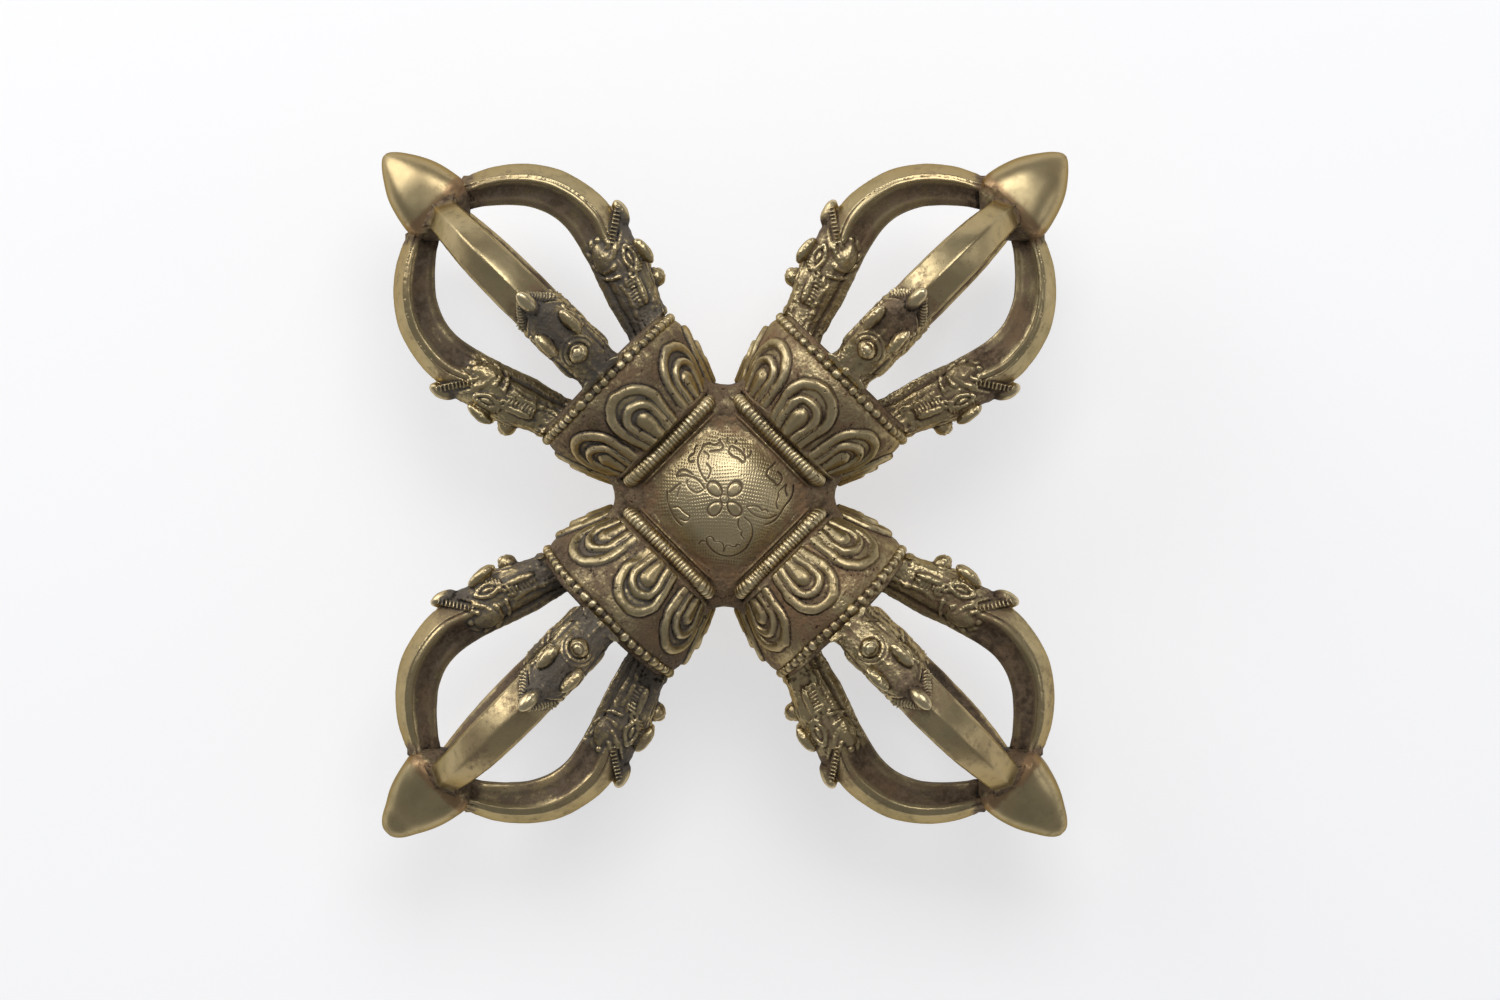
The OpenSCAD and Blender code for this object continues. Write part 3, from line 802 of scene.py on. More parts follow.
def collar_shape(seed, tone):
    rng = np.random.default_rng(100 + seed)
    zone = spline(FLARE, 13)
    prof = np.concatenate(
        [
            [(21.35, 5.4), (21.35, 9), (21.35, 12.0)],
            zone,
            [(39.8, 22.0), (40.15, 21.75), (40.6, 21.3), (41.7, 21.1), (42.3, 21.05), (42.7, 21.0), (43.1, 20.95), (43.45, 20.6), (43.65, 20.0)],
            [(43.66, 18.3), (43.6, 16), (43.55, 12), (43.5, 8), (43.5, 5.4)],
            [(36, 5.4), (29, 5.4)],
        ]
    )
    n = len(prof)
    d = np.roll(prof, -1, 0) - np.roll(prof, 1, 0)
    nrm = np.stack([-d[:, 1], d[:, 0]], 1)
    nrm /= np.linalg.norm(nrm, axis=1)[:, None]
    nt = 440
    th = np.arange(nt) / nt * 2 * np.pi
    a = np.broadcast_to(prof[:, 0][:, None], (n, nt))
    R = np.broadcast_to(prof[:, 1][:, None], (n, nt))
    T = np.broadcast_to(th[None, :], (n, nt))
    k = np.round(T / (np.pi / 4)).astype(int) % 8
    off = (T - np.round(T / (np.pi / 4)) * np.pi / 4) * R
    grow = rng.uniform(0.95, 1.03, 8)[k]
    lean = rng.uniform(-0.07, 0.07, 8)[k]
    tall = rng.uniform(0.85, 1.10, 8)[k]
    x = (a - 22.0) / grow
    y = off / grow + lean * x
    wob = 0.26 * noise(np.stack([x.ravel() * 0.45, y.ravel() * 0.45, k.ravel() * 9.0], 1), 1.0, seed).reshape(x.shape)
    d1 = uneven(x + 3.0, y, 5.0, 7.35, 11.1) + wob
    d2 = uneven(x + 3.0, y, 2.8, 4.6, 9.4) + wob
    d3 = uneven(x - 0.2, y, 1.4, 2.2, 5.2) + wob * 0.7

    def plump(dist, width):
        t = np.clip(-dist / width, 0, 1)
        return np.clip(1 - np.abs(2 * t - 1) ** 2.6, 0, 1) ** 0.6

    # two plump bands and a tongue, parted by narrow grooves
    hgt = 0.10 * smoothstep(0.1, -0.5, d1) + 0.85 * plump(d1, 2.7) + 0.95 * plump(d2, 2.15)
    hgt += 1.15 * np.sqrt(np.clip(-d3 / 1.5, 0, 1)) - 0.16 * np.exp(-((d1 / 0.3) ** 2))
    hgt += 0.25 * smoothstep(0, -1.0, d2)
    inz = np.zeros(n)
    inz[3 : 3 + len(zone)] = smoothstep(21.5, 22.5, zone[:, 0]) * (1 - smoothstep(38.6, 39.2, zone[:, 0]))
    hgt = hgt * tall * inz[:, None]
    if seed == 2:
        # one petal is rubbed flat near its foot
        hgt = hgt * (1 - 0.9 * np.exp(-((((a - 24.6) / 2.6) ** 2 + ((T * R - 6.4) / 2.6) ** 2) ** 2)))
    am = a + np.where(inz[:, None] > 0, nrm[:, 0][:, None] * hgt, 0)
    Rm = R + nrm[:, 1][:, None] * hgt
    V = np.stack([am.ravel(), (Rm * np.cos(T)).ravel(), (Rm * np.sin(T)).ravel()], 1)
    aa = a.ravel()
    body = smoothstep(21.9, 23, aa)
    rough = 0.18 * fbm(V, 0.22, 3, 200 + seed) + 0.06 * noise(V, 1.3, 230 + seed)
    rim = smoothstep(42.2, 42.8, aa)
    rough += rim * 0.30 * fbm(V, 0.55, 2, 240 + seed)
    V[:, 1] += body * rough * np.cos(T).ravel()
    V[:, 2] += body * rough * np.sin(T).ravel()
    V[:, 0] += smoothstep(37, 40, aa) * rim_wave(-V[:, 2], V[:, 1], seed)
    F = wrap_grid(n, nt)[:, ::-1]
    petal = np.broadcast_to(inz[:, None] > 0, d1.shape)
    ground = smoothstep(-0.1, 0.5, np.where(petal, d1, 9.0)).ravel()
    # dirt lies in the grooves between the bands
    groove = np.exp(-((d1 / 0.30) ** 2)) + np.exp(-((d2 / 0.30) ** 2)) + np.exp(-((d3 / 0.30) ** 2))
    groove = np.clip(np.where(petal, groove, 0), 0, 1).ravel()
    crest = np.clip(np.where(petal, plump(d1, 2.7) ** 3 * (d2 > 0) + plump(d2, 2.15) ** 3 * (d3 > 0) + smoothstep(-0.3, -1.2, d3), 0), 0, 1).ravel()
    end = smoothstep(43.3, 43.6, aa)
    age = 0.5 + 0.5 * fbm(V + 31 * seed, 0.10, 2, 260 + seed)
    root = 1 - smoothstep(22.2, 26.0, aa)
    dark = 0.25 * ground + 0.20 * rim + 0.35 * end + 0.65 * (age - 0.5) + 0.08 * groove + 0.10 * root + tone
    red = 0.30 * root + 0.45 * ground + 0.35 * (age - 0.4)
    L = looks(V, F, dark, 0.35 * ground + 0.3 * rim, red, fine=(3, 14), scale=(0.11, 0.50), wear_gain=0.65)
    L[:, 1] = np.clip((L[:, 1] * (1 - 0.9 * ground) + 0.38 * crest * age) * (1 - 0.8 * rim), 0, 1)
    return V, F, L


def build_collars():
    for arm, i, roll in ARMS:
        V, F, L = collar_shape(i, COLLAR[arm])
        L[:, 4] -= COOL[arm]
        add_piece(f"{arm}_lotus_collar_cast", f"{arm}_lotus_collar", V, F, L, MAT_CAST, arm_turn(i, roll) @ rot_x(90))


# ---------------------------------------------------------------- rings


def rounded_square(half, corner, s):
    """Point and outward direction at lengths s along a rounded square, with s given as a share of its whole length."""
    flat = half - corner
    side, arc = 2 * flat, corner * math.pi / 2
    total = 4 * (side + arc)
    s = np.mod(s * total, total)
    q = np.floor(s / (side + arc)).astype(int)
    u = s - q * (side + arc)
    on_flat = u < side
    ang = np.where(on_flat, 0.0, (u - side) / corner)
    px = np.where(on_flat, half, flat + corner * np.cos(ang))
    py = np.where(on_flat, u - flat, flat + corner * np.sin(ang))
    nx, ny = np.cos(ang), np.sin(ang)
    c, sn = np.cos(q * math.pi / 2), np.sin(q * math.pi / 2)
    return (px * c - py * sn, px * sn + py * c), (nx * c - ny * sn, nx * sn + ny * c)


def build_rings():
    for arm, i, roll in ARMS:
        rng = np.random.default_rng(300 + i)
        # neck ring: wire wound round a rounded square
        n, seg, nv = 100, 9, 18
        pitch = 1 + 0.16 * rng.standard_normal(n).clip(-1.5, 1.5)
        edge = np.concatenate([[0], np.cumsum(pitch)]) / pitch.sum() * n
        s = np.arange(n * seg) / seg
        q = np.interp(s, edge, np.arange(n + 1))
        p = q - np.floor(q) - 0.5
        amp = np.repeat(rng.uniform(0.34, 0.48, n), seg)
        rib = np.sqrt(np.clip(1 - (2 * p) ** 2, 0, 1)) ** 0.85
        radius = 1.60 + amp * rib
        (px, py), (nx, ny) = rounded_square(13.68, 4.3, s / n)
        v = np.arange(nv) / nv * 2 * np.pi
        rr = radius[:, None]
        off = rr * np.cos(v)[None, :]
        V = np.stack(
            [
                (19.45 + rr * np.sin(v)[None, :]).ravel(),
                (px[:, None] + nx[:, None] * off).ravel(),
                (py[:, None] + ny[:, None] * off).ravel(),
            ],
            1,
        )
        V += 0.08 * np.stack([fbm(V + 30 * k, 0.25, 2, 310 + k + i) for k in range(3)], 1)
        F = wrap_grid(n * seg, nv)
        face = np.broadcast_to(np.cos(v)[None, :], (n * seg, nv))
        ribs = np.broadcast_to(rib[:, None], face.shape)
        worn = np.repeat(rng.uniform(0.45, 1.0, n), seg)[:, None]
        cav = (0.34 * (1 - smoothstep(0.15, 0.75, ribs)) + 0.15 * (1 - smoothstep(0.0, 0.7, face))).ravel()
        wear = (smoothstep(0.6, 1.0, ribs) * smoothstep(0.45, 0.98, face) * worn).ravel()
        add_piece(
            f"{arm}_neck_ring_wound", f"{arm}_neck_ring", V, F,
            stack_look(np.clip(cav, 0, 1), 1.0 * wear, 0.0, ROPE[arm], 0.15 - 0.6 * COOL[arm]), MAT_CAST, arm_turn(i, roll),
        )

        # blocky beads on the rim, parted by thin reels
        n, seg, nv = 48, 18, 14
        pitch = 1 + 0.14 * rng.standard_normal(n).clip(-1.6, 1.6)
        edge = np.concatenate([[0], np.cumsum(pitch)]) / pitch.sum() * n
        s = np.arange(n * seg) / seg
        q = np.interp(s, edge, np.arange(n + 1))
        k = np.minimum(q.astype(int), n - 1)
        p = q - k - 0.5
        big = rng.uniform(1.12, 1.34, n)[k]
        skew = rng.uniform(-0.04, 0.04, n)[k]
        fat = rng.uniform(0.36, 0.42, n)[k]
        bead = big * np.clip(1 - np.abs((p - skew) / fat) ** 4.2, 0, 1) ** 0.5
        reel = 0.78 * np.sqrt(np.clip(1 - ((np.abs(p) - 0.5) / 0.09) ** 2, 0, 1)) ** 0.7
        radius = np.maximum(np.maximum(bead, reel), 0.55)
        u = np.arange(n * seg) / (n * seg) * 2 * np.pi
        v = np.arange(nv) / nv * 2 * np.pi
        rr = radius[:, None]
        rad = 21.55 + rr * np.cos(v)[None, :]
        V = np.stack(
            [(41.15 + rr * np.sin(v)[None, :]).ravel(), (rad * np.cos(u)[:, None]).ravel(), (rad * np.sin(u)[:, None]).ravel()], 1
        )
        V += 0.13 * np.stack([noise(V + 30 * q_, 0.7, 330 + q_ + i) for q_ in range(3)], 1)
        V[:, 0] += rim_wave(V[:, 1], V[:, 2], i)
        F = wrap_grid(n * seg, nv)
        face = np.broadcast_to(np.cos(v)[None, :], (n * seg, nv))
        top = np.broadcast_to(smoothstep(0.80, 1.10, radius)[:, None], face.shape)
        worn = np.repeat(rng.uniform(0.35, 1.0, n), seg)[:, None]
        cav = (0.46 * (1 - top) + 0.12 * (1 - smoothstep(0.0, 0.7, face))).ravel()
        wear = (top * smoothstep(0.35, 0.95, face) * worn).ravel()
        add_piece(
            f"{arm}_bead_ring_beads", f"{arm}_bead_ring", V, F,
            stack_look(np.clip(cav, 0, 1), 0.75 * wear, 0.0, -0.10, 0.15 - COOL[arm]), MAT_CAST, arm_turn(i, roll),
        )


# ---------------------------------------------------------------- central prong and point

# size of each point and how blunt its tip is; the second number also sets painted shade on each point, most on the two
# that lie lower in the camera's view (west, south)
POINT_SIZE = {"east": (1.04, 0.15), "north": (0.95, 0.25), "west": (0.98, 1.0), "south": (0.96, 0.7)}


def build_points():
    rows = np.array(
        [
            (9.0, 4.9, 1.0), (9.3, 5.0, 1.0), (42.6, 5.0, 1.0), (43.2, 5.0, 1.0), (43.5, 4.2, 0.4), (60, 4.0, 0.35),
            (80, 3.7, 0.35), (90, 3.5, 0.35), (93.6, 3.9, 0.42), (96.2, 6.6, 0.48), (98.4, 8.7, 0.50), (99.9, 9.55, 0.52),
            (101.0, 9.85, 0.54), (102.2, 9.9, 0.56), (103.6, 9.75, 0.60), (106.2, 9.2, 0.64), (109, 8.4, 0.68), (111.5, 7.4, 0.72),
            (114, 6.0, 0.76), (116, 4.55, 0.80), (117.6, 3.2, 0.86), (118.7, 2.1, 0.95), (119.4, 1.25, 1.0), (119.85, 0.4, 1.0),
        ]
    )
    dense = spline(rows, 6)
    t = np.arange(120) / 120 * 2 * np.pi
    c, s = np.cos(t), np.sin(t)
    for arm, i, roll in ARMS:
        size, blunt = POINT_SIZE[arm]
        a0 = dense[:, 0].copy()
        on = smoothstep(95, 101, a0)
        hw = dense[:, 1] * (1 + (size - 1) * on) + blunt * 1.0 * smoothstep(114, 119.6, a0)
        e = dense[:, 2][:, None]
        Y = hw[:, None] * np.sign(c) * np.abs(c) ** e
        Z = hw[:, None] * np.sign(s) * np.abs(s) ** e
        A = np.broadcast_to(a0[:, None], Y.shape)
        V = np.stack([A.ravel(), Y.ravel(), Z.ravel()], 1)
        nv = len(t)
        nu = len(dense)
        ii, jj = np.meshgrid(np.arange(nu - 1), np.arange(nv), indexing="ij")
        q = ii * nv + jj
        q2 = ii * nv + (jj + 1) % nv
        F = np.stack([q.ravel(), q2.ravel(), (q2 + nv).ravel(), (q + nv).ravel()], 1)
        extra = [np.arange(nv)[::-1], (nu - 1) * nv + np.arange(nv)]
        a = V[:, 0].copy()
        base = np.exp(-(((a - 98.8) / 2.2) ** 2))
        wob = 0.7 * fbm(V + 17 * i, 0.42, 3, 400 + i) * base + 0.30 * fbm(V + 9 * i, 0.10, 2, 410 + i) * smoothstep(100, 106, a)
        rad = np.hypot(V[:, 1], V[:, 2])
        V[:, 1:] *= (1 + wob / np.maximum(rad, 1.0))[:, None]
        V[:, 0] += 0.45 * fbm(V + 5 * i, 0.22, 2, 420 + i) * np.exp(-(((a - 101) / 3.4) ** 2))
        under = 1 - smoothstep(101.4, 103.6, a)
        joint = np.exp(-(((a - 98.0) / 2.0) ** 2))
        age = 0.5 + 0.5 * fbm(V + 21 * i, 0.13, 2, 430 + i)
        # 0.14 * blunt is painted shade: it darkens the points that lie lower in the camera's view, west most and south
        #                                next
        dark = 0.14 * blunt + 0.14 * under + 0.35 * joint + 0.60 * (1 - smoothstep(94, 98, a)) + 0.35 * (age - 0.5)
        red = 0.90 * under * smoothstep(98, 100, a) + 0.35 * np.exp(-(((a - 103) / 2.0) ** 2)) + 0.25 * (age - 0.5)
        L = looks(V, F, dark, 0.4 * base, red, fine=(3, 30), scale=(0.06, 0.5))
        L[:, 1] = np.clip(L[:, 1] * 0.35 + 0.10 * smoothstep(103, 107, a), 0, 1)
        L[:, 0] *= 0.5
        add_piece(f"{arm}_central_prong_point", f"{arm}_central_prong", V, F, L, MAT_POINT, arm_turn(i, roll), extra)


# ---------------------------------------------------------------- hub and bosses


def build_hub():
    h = 0.38
    g = np.arange(-25.2, 25.21, h)
    z = np.arange(-16.4, 16.41, h)
    X, Y, Z = g[:, None, None], g[None, :, None], z[None, None, :]
    ax, ay, az = np.abs(X) + 0 * Y, np.abs(Y) + 0 * X, np.abs(Z)

    def rbox(qx, qy, qz, rr):
        qx, qy, qz = qx + rr, qy + rr, qz + rr
        return np.sqrt(np.maximum(qx, 0) ** 2 + np.maximum(qy, 0) ** 2 + np.maximum(qz, 0) ** 2) + np.minimum(np.maximum(qx, np.maximum(qy, qz)), 0) - rr

    block = rbox(ax - 17.2, ay - 17.2, az - 11.9, 1.0)
    # corner posts, falling away towards the notch between two collars
    s, t = (ax + ay) / math.sqrt(2), np.abs(ax - ay) / math.sqrt(2)
    post = rbox(s - (27.6 + 0.07 * t * t), t - 6.4, az - (11.7 - 0.40 * np.maximum(s - 23.0, 0)), 2.2)

    # bed of the wound rings: a rounded square that grows towards the collar
    def bed(p, q):
        half = np.interp(p, [16.5, 17.2, 18.4, 20.4, 21.3, 22.4], [13.0, 13.4, 13.9, 14.3, 15.2, 16.2])
        qa, qz = np.abs(q) - 8.2, az - 8.2
        m = np.sqrt(np.maximum(qa, 0) ** 2 + np.maximum(qz, 0) ** 2) + np.minimum(np.maximum(qa, qz), 0) - (half - 8.2)
        return np.maximum(m * 0.95, np.maximum(p - 22.4, 15 - p))

    flare = spline(FLARE, 6)

    def collar(p, q):
        d = (np.sqrt(q * q + Z * Z) - np.interp(p, flare[:, 0], flare[:, 1])) * 0.95
        return np.maximum(d, 21.35 - p)

    core = smin(smin(block, post, 2.2), np.minimum(bed(ax, ay), bed(ay, ax)), 1.0)
    both = np.minimum(collar(ax, ay), collar(ay, ax))
    f = smin(core, both, 2.6) + 0.22
    f = np.maximum(f, -(both + 1.4))
    f = np.maximum(f, np.maximum(ax, ay) - 24.6) + 0 * Z
    V, F = surface_nets(f, (g[0], g[0], z[0]), h)
    V += 0.20 * np.stack([fbm(V + 30 * k, 0.25, 3, 510 + k) for k in range(3)], 1)
    V += 0.06 * np.stack([noise(V + 30 * k, 1.1, 520 + k) for k in range(3)], 1)
    L = looks(V, F, 0.42, 0.45, 0.38, fine=(3, 20), scale=(0.08, 0.40))
    L[:, 1] *= 0.30
    add_piece("hub_block_cast", "hub_block", V, F, L, MAT_CAST)


def turned_xy(points):
    """The chased drawing is laid out with the square standing on its corner
    (right, up), and turned here to the arm axes."""
    P = np.asarray(points, float)
    s = math.sqrt(0.5)
    return np.stack([(P[:, 0] + P[:, 1]) * s, (P[:, 1] - P[:, 0]) * s], 1)


STROKES = [
    # upper left stem with its leaves
    [(-4.4, 4.2), (-5.4, 5.5), (-6.2, 7.2), (-6.7, 9.4), (-6.3, 11.0), (-5.7, 12.1), (-5.2, 13.4)],
    [(-4.1, 4.9), (-3.6, 6.0), (-3.4, 7.0), (-3.8, 7.9), (-4.4, 8.5)],
    [(-4.1, 9.8), (-3.9, 10.6), (-4.5, 11.2), (-5.1, 11.6)],
    [(-3.6, 11.6), (-2.4, 11.8), (-1.0, 12.0), (-0.3, 12.8), (-0.6, 13.5), (-1.4, 14.4)],
    [(-5.0, 13.2), (-3.8, 13.6), (-2.6, 13.2), (-1.4, 13.8)],
    [(-7.6, 9.2), (-8.6, 9.0), (-9.0, 9.8), (-8.4, 10.6), (-7.6, 11.2), (-7.4, 12.4), (-6.9, 13.0)],
    # left stem and leaf
    [(-4.9, 2.4), (-5.8, 3.8), (-7.0, 4.9), (-9.0, 5.6), (-10.6, 5.6), (-11.9, 5.4)],
    [(-9.2, 4.4), (-9.3, 3.4), (-8.6, 2.4), (-7.4, 1.6), (-6.4, 1.5), (-5.2, 2.2)],
    [(-11.9, 5.6), (-11.0, 6.8), (-9.6, 7.0), (-8.6, 6.4), (-7.9, 5.9)],
    # left arc and leaf
    [(-14.2, 1.6), (-14.2, 0.0), (-14.0, -1.3), (-12.9, -4.2), (-11.8, -5.7), (-10.6, -6.8)],
    [(-12.6, -2.3), (-11.4, -2.2), (-10.6, -2.9), (-9.8, -3.6), (-8.7, -4.4), (-8.9, -5.2), (-9.7, -5.6), (-10.8, -5.2)],
    [(-13.6, 1.4), (-12.6, 2.4), (-11.6, 3.2), (-10.9, 3.6)],
    [(-11.0, 2.8), (-11.4, 1.6), (-11.6, 0.4)],
    # lower stem and leaves
    [(4.9, -4.6), (6.2, -5.8), (6.8, -7.2), (6.9, -8.8), (6.4, -10.4), (5.4, -12.2), (4.1, -13.4), (2.4, -14.2), (0.8, -14.4), (-0.9, -14.1), (-2.4, -13.4), (-3.6, -12.3), (-4.4, -11.1), (-4.5, -9.9)],
    [(-4.5, -9.8), (-3.8, -9.4), (-3.0, -9.7), (-2.5, -10.6), (-1.6, -10.6), (-0.7, -11.0), (-0.2, -11.9), (-0.3, -13.2)],
    [(-0.2, -13.0), (0.2, -11.9), (0.9, -11.5), (1.8, -11.9), (2.6, -12.0), (3.2, -11.4), (3.8, -11.6)],
    [(3.5, -5.0), (3.3, -6.2), (3.6, -7.4), (4.3, -8.0), (4.1, -9.0), (4.7, -9.9)],
    [(-4.6, -10.6), (-5.8, -10.6), (-6.4, -11.3)],
    # right stem and leaves
    [(5.4, -2.0), (6.3, -3.2), (7.6, -4.2), (9.6, -4.9), (11.2, -4.9), (12.7, -4.3)],
    [(10.0, -6.6), (12.0, -5.8), (13.6, -4.2), (14.8, -2.2), (16.2, -0.4), (16.9, 1.4), (17.0, 3.0)],
    [(5.4, -2.0), (6.8, -1.8), (8.4, -2.0), (9.2, -2.9), (10.2, -2.8), (10.7, -3.4)],
    [(13.0, -2.6), (12.7, -1.4), (13.2, 0.2), (13.4, 1.6), (14.4, 2.6), (15.2, 3.2), (15.0, 1.8), (15.4, 0.6)],
    [(10.4, 5.8), (10.8, 7.2), (11.8, 8.0), (12.6, 8.8)],
    [(10.4, 5.8), (11.2, 4.9), (12.2, 4.2), (12.8, 3.3), (13.6, 3.6), (14.2, 4.6), (14.0, 5.6), (13.2, 6.4)],
    # top leaf
    [(1.1, 11.7), (1.6, 12.9), (2.6, 12.6), (3.8, 11.9), (4.8, 10.9), (5.2, 9.7), (4.5, 9.0), (3.4, 9.9), (2.2, 10.4), (1.5, 11.0), (1.1, 11.7)],
    [(5.2, 10.0), (6.2, 10.6), (6.7, 11.6)],
    [(4.8, 11.2), (4.9, 12.2)],
    [(-1.2, 13.7), (-1.1, 14.6)],
    [(0.7, 14.0), (0.8, 14.9)],
    [(2.7, 13.6), (3.0, 14.3)],
]


def boss_height(x, y):
    """Height above the hub's centre of the cushion, before chasing."""
    ax, ay = np.abs(x), np.abs(y)
    m, o = np.maximum(ax, ay), np.minimum(ax, ay)
    rr = np.hypot(x, y)
    dome = 19.35 - (23.5 - np.sqrt(np.maximum(23.5**2 - rr**2, 1.0)))
    z = -smin(-dome, -(12.35 + 0 * x), 2.4)
    # raised strip beside the neck rings, dying out in the corners
    strip = 13.75 - 1.3 * smoothstep(7, 16, o) - 0.9 * ((m - 16.65) / 0.62) ** 2
    z = -smin(-z, -strip, 0.7)
    z -= 1.2 * smoothstep(16.9, 17.4, m)
    # the corners run out under the hub's corners
    z -= 1.4 * smoothstep(19.0, 23.0, rr)
    return z


def boss_shape(seed, n=276, half=17.35):
    u = np.linspace(-1, 1, n)
    x, y = np.meshgrid(u * half, u * half, indexing="ij")
    # round the corners of the outline a little
    x, y = x * (1 - 0.035 * (np.abs(y) / half) ** 8), y * (1 - 0.035 * (np.abs(x) / half) ** 8)
    z = boss_height(x, y)
    P = np.stack([x.ravel(), y.ravel(), 0 * x.ravel()], 1)
    wob = 0.10 * noise(P, 0.45, 600 + seed).reshape(x.shape)
    cut = np.zeros_like(x)
    raise_ = np.zeros_like(x)
    keep = np.ones_like(x)

    def line(d, width=0.25, deep=0.22):
        nonlocal cut
        cut = np.maximum(cut, deep * np.exp(-((d / width) ** 2)))

    rr = np.hypot(x, y)
    line(rr - 1.1, 0.24, 0.26)
    raise_ += 0.15 * smoothstep(1.0, 0.6, rr)
    line(rr - 0.45, 0.16, 0.14)
    keep *= smoothstep(1.2, 1.5, rr)
    for k in range(4):
        c, s = math.cos(k * math.pi / 2), math.sin(k * math.pi / 2)
        px, py = x * c + y * s, -x * s + y * c
        tt = (px - 3.35) / 2.1
        d = (np.sqrt(tt**2 + (py / (1.45 + 0.22 * tt)) ** 2) - 1) * 1.4 + wob * 0.6
        line(d, 0.27, 0.30)
        raise_ += 0.12 * smoothstep(0.0, -0.7, d)
        keep *= smoothstep(-0.1, 0.25, d)
    for pts in STROKES:
        d, _ = side_of(x, y, spline(turned_xy(pts), 5))
        line(np.abs(d) + wob * 0.5, 0.25, 0.28)
        keep *= smoothstep(0.25, 0.55, np.abs(d))
    # punched ground in short rows that change direction
    gx, gy = x / 7.0, y / 7.0
    turn = 0.6 * noise(np.stack([np.floor(gx + 0.5 * np.floor(gy)).ravel() * 3.7, np.floor(gy).ravel() * 5.1, 0 * gx.ravel()], 1), 1.0, 620).reshape(x.shape)
    c, s = np.cos(0.78 + turn), np.sin(0.78 + turn)
    qx, qy = (x * c + y * s) / 0.86, (-x * s + y * c) / 0.66
    dot = np.clip(np.cos(2 * np.pi * qx) * 0.5 + np.cos(2 * np.pi * qy) * 0.5, 0, 1)
    sq = (np.abs(x) ** 4 + np.abs(y) ** 4) ** 0.25
    field = keep * (1 - smoothstep(13.2, 15.2, sq))
    patchy = smoothstep(-0.6, 0.1, noise(P, 0.16, 640 + seed).reshape(x.shape))
    punch = dot * field * (0.45 + 0.55 * patchy)
    flat = 1 - smoothstep(14.9, 15.7, np.maximum(np.abs(x), np.abs(y)))
    chase = np.maximum(cut, 0.17 * punch)
    rough = 0.12 * fbm(P, 0.2, 3, 660 + seed).reshape(x.shape)
    edge_rough = smoothstep(12.5, 15.5, sq) * (0.10 * noise(P, 0.9, 670 + seed) + 0.05 * noise(P, 2.0, 680 + seed)).reshape(x.shape)
    z = z + (raise_ - chase) * flat + rough + edge_rough
    top = np.stack([x.ravel(), y.ravel(), z.ravel()], 1)
    i, j = np.meshgrid(np.arange(n - 1), np.arange(n - 1), indexing="ij")
    q = i * n + j
    F = np.stack([q.ravel(), (q + n).ravel(), (q + n + 1).ravel(), (q + 1).ravel()], 1)
    edge = np.concatenate([np.arange(n) * n, (n - 1) * n + np.arange(1, n), np.arange(n - 2, -1, -1) * n + n - 1, np.arange(n - 2, 0, -1)])
    m = len(edge)
    low = top[edge].copy()
    low[:, 2] = 10.6
    low[:, :2] *= 0.99
    V = np.concatenate([top, low])
    base = n * n
    k = np.arange(m)
    skirt = np.stack([edge[k], base + k, base + (k + 1) % m, edge[(k + 1) % m]], 1)
    F = np.concatenate([F, skirt])
    extra = [base + np.arange(m)[::-1]]
    # the skirt and the underside face outwards
    a, b, c_ = V[skirt[0, 0]], V[skirt[0, 1]], V[skirt[0, 2]]
    nn = np.cross(b - a, c_ - a)
    if nn[0] * a[0] + nn[1] * a[1] < 0:
        F[-m:] = F[-m:][:, ::-1]
        extra = [extra[0][::-1]]
    rr = np.hypot(V[:, 0], V[:, 1])
    sq = (np.abs(V[:, 0]) ** 3 + np.abs(V[:, 1]) ** 3) ** (1 / 3)
    worn = 1 - smoothstep(9.5, 15.0, sq)
    corner = smoothstep(15, 21, rr)
    # dirt in the chased lines and the punched dots
    dirt = np.concatenate([((2.6 * cut + 0.22 * punch) * flat).ravel(), np.zeros(m)])
    dark = 0.30 * smoothstep(12, 16, sq) + 0.26 * corner + dirt
    red = 0.50 * smoothstep(11, 15, sq) + 0.10 * corner
    L = looks(V, F, dark, 0.35 * smoothstep(13, 16, sq), red, fine=(2, 12), scale=(0.07, 0.24), wear_gain=0.7)
    L[:, 1] = np.clip(L[:, 1] * (0.5 + 0.5 * worn) + 0.50 * worn, 0, 1)
    L[:, 0] *= 0.6
    return V, F, L, extra


def build_bosses():
    V, F, L, extra = boss_shape(0)
    add_piece("front_boss_chased", "front_boss", V, F, L, MAT_BOSS, None, extra)
    V, F, L, extra = boss_shape(1)
    add_piece("back_boss_chased", "back_boss", V, F, L, MAT_BOSS, np.round(rot_x(180), 12), extra)


build_prongs()
build_collars()
build_rings()
build_points()
build_hub()
build_bosses()

# ---------------------------------------------------------------- floor, light, camera

RIGHT = Vector((1, -1, 0)).normalized()
UP = Vector((1, 1, 0)).normalized()
OUT = Vector((0, 0, 1))
CENTRE = Vector((0, 0, LIFT / 1000))


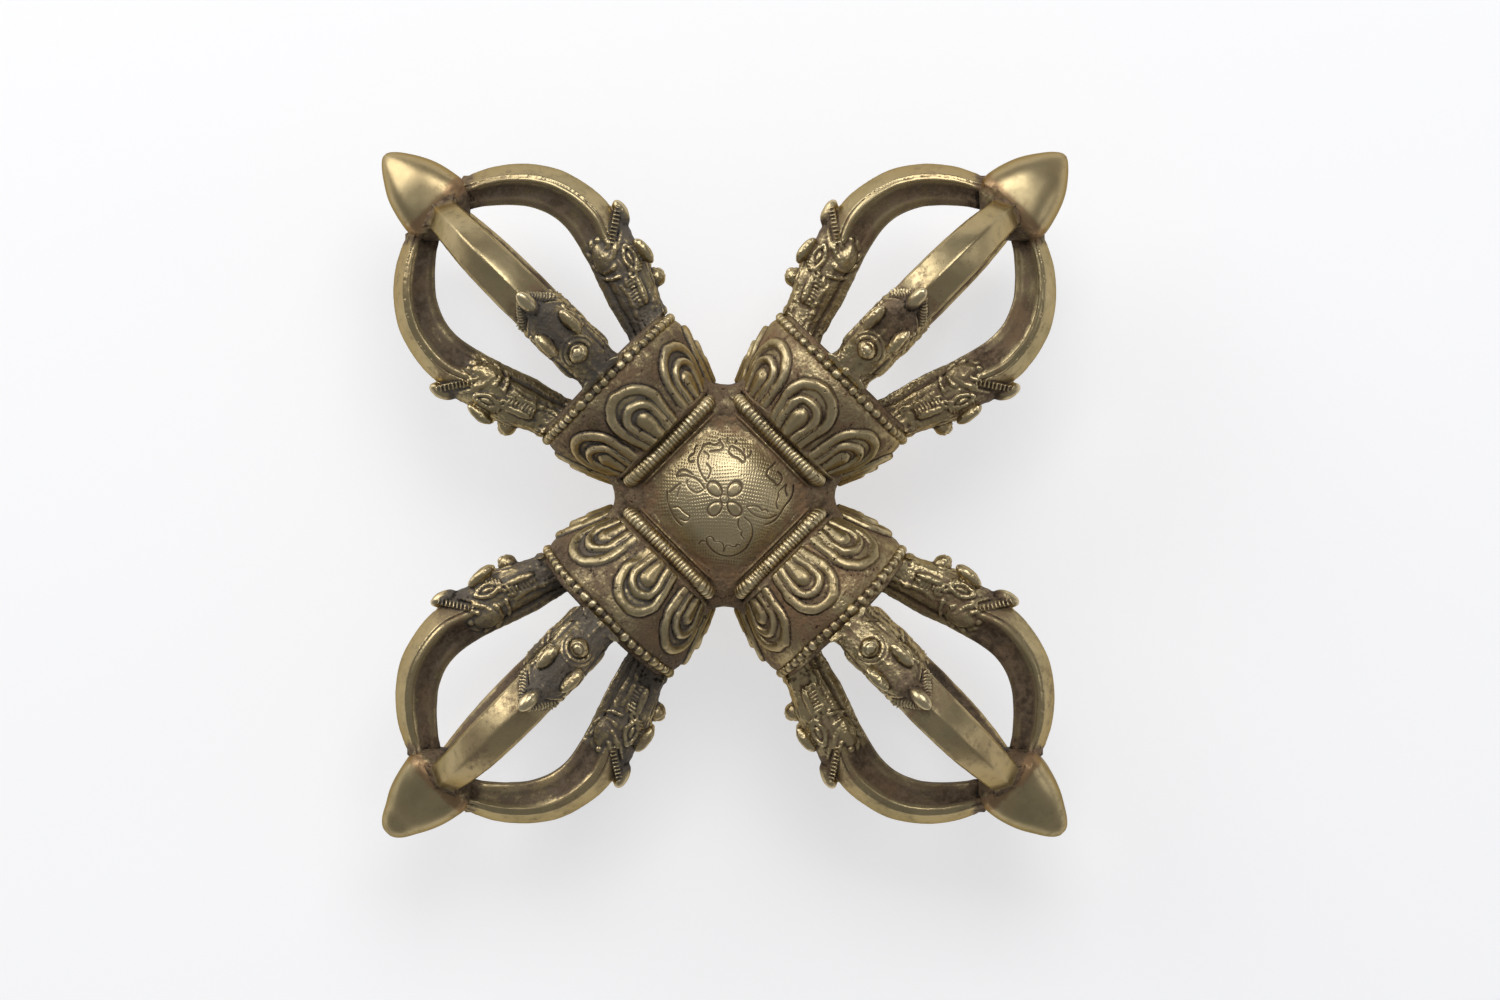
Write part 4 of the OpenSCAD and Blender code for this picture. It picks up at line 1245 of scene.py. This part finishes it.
def matte(name, colour, rough):
    m = bpy.data.materials.new(name)
    m.use_nodes = True
    b = m.node_tree.nodes["Principled BSDF"]
    b.inputs["Base Color"].default_value = colour + (1.0,)
    b.inputs["Roughness"].default_value = rough
    # the sweep is lit a little from below
    b.inputs["Emission Color"].default_value = colour + (1.0,)
    b.inputs["Emission Strength"].default_value = 1.18
    return m


me = bpy.data.meshes.new("floor")
me.from_pydata([(-4, -4, 0), (4, -4, 0), (4, 4, 0), (-4, 4, 0)], [], [(0, 1, 2, 3)])
floor = bpy.data.objects.new("floor", me)
floor.data.materials.append(matte("pale_floor", (0.50, 0.50, 0.506), 0.85))
bpy.context.collection.objects.link(floor)


def area(name, direction, distance, width, height, power, colour=(1, 1, 1)):
    d = Vector(direction).normalized()
    light = bpy.data.lights.new(name, "AREA")
    light.shape = "RECTANGLE"
    light.size, light.size_y = width, height
    light.energy = power
    light.color = colour
    ob = bpy.data.objects.new(name, light)
    ob.location = CENTRE + d * distance
    ob.rotation_euler = (-d).to_track_quat("-Z", "Y").to_euler()
    bpy.context.collection.objects.link(ob)
    return ob


area("key", RIGHT * 0.10 + UP * 0.62 + OUT * 0.76, 1.25, 0.8, 0.6, 6.4)
area("left_fill", RIGHT * -0.68 + UP * 0.62 + OUT * 0.36, 1.3, 0.8, 0.8, 6.6)
area("right_fill", RIGHT * 0.95 + UP * 0.0 + OUT * 0.40, 1.4, 0.5, 0.7, 0.9)

world = bpy.data.worlds.new("studio")
world.use_nodes = True
world.node_tree.nodes["Background"].inputs[0].default_value = (0.95, 0.97, 1.0, 1)
world.node_tree.nodes["Background"].inputs[1].default_value = 0.28
bpy.context.scene.world = world
bpy.context.scene.view_settings.view_transform = "Standard"

TILT, DIST = math.radians(3.0), 1.2
cam = bpy.data.cameras.new("camera")
cam.sensor_width = 36.0
cam.lens = 36.0 * DIST / 0.375
cam.clip_start, cam.clip_end = 0.05, 20
view = OUT * math.cos(TILT) + UP * math.sin(TILT)
up = UP * math.cos(TILT) - OUT * math.sin(TILT)
aim = CENTRE + RIGHT * 0.00625 - up * 0.00125
camera = bpy.data.objects.new("camera", cam)
m = Matrix((RIGHT, up, view)).transposed().to_4x4()
m.translation = aim + view * DIST
camera.matrix_world = m
bpy.context.collection.objects.link(camera)
bpy.context.scene.camera = camera
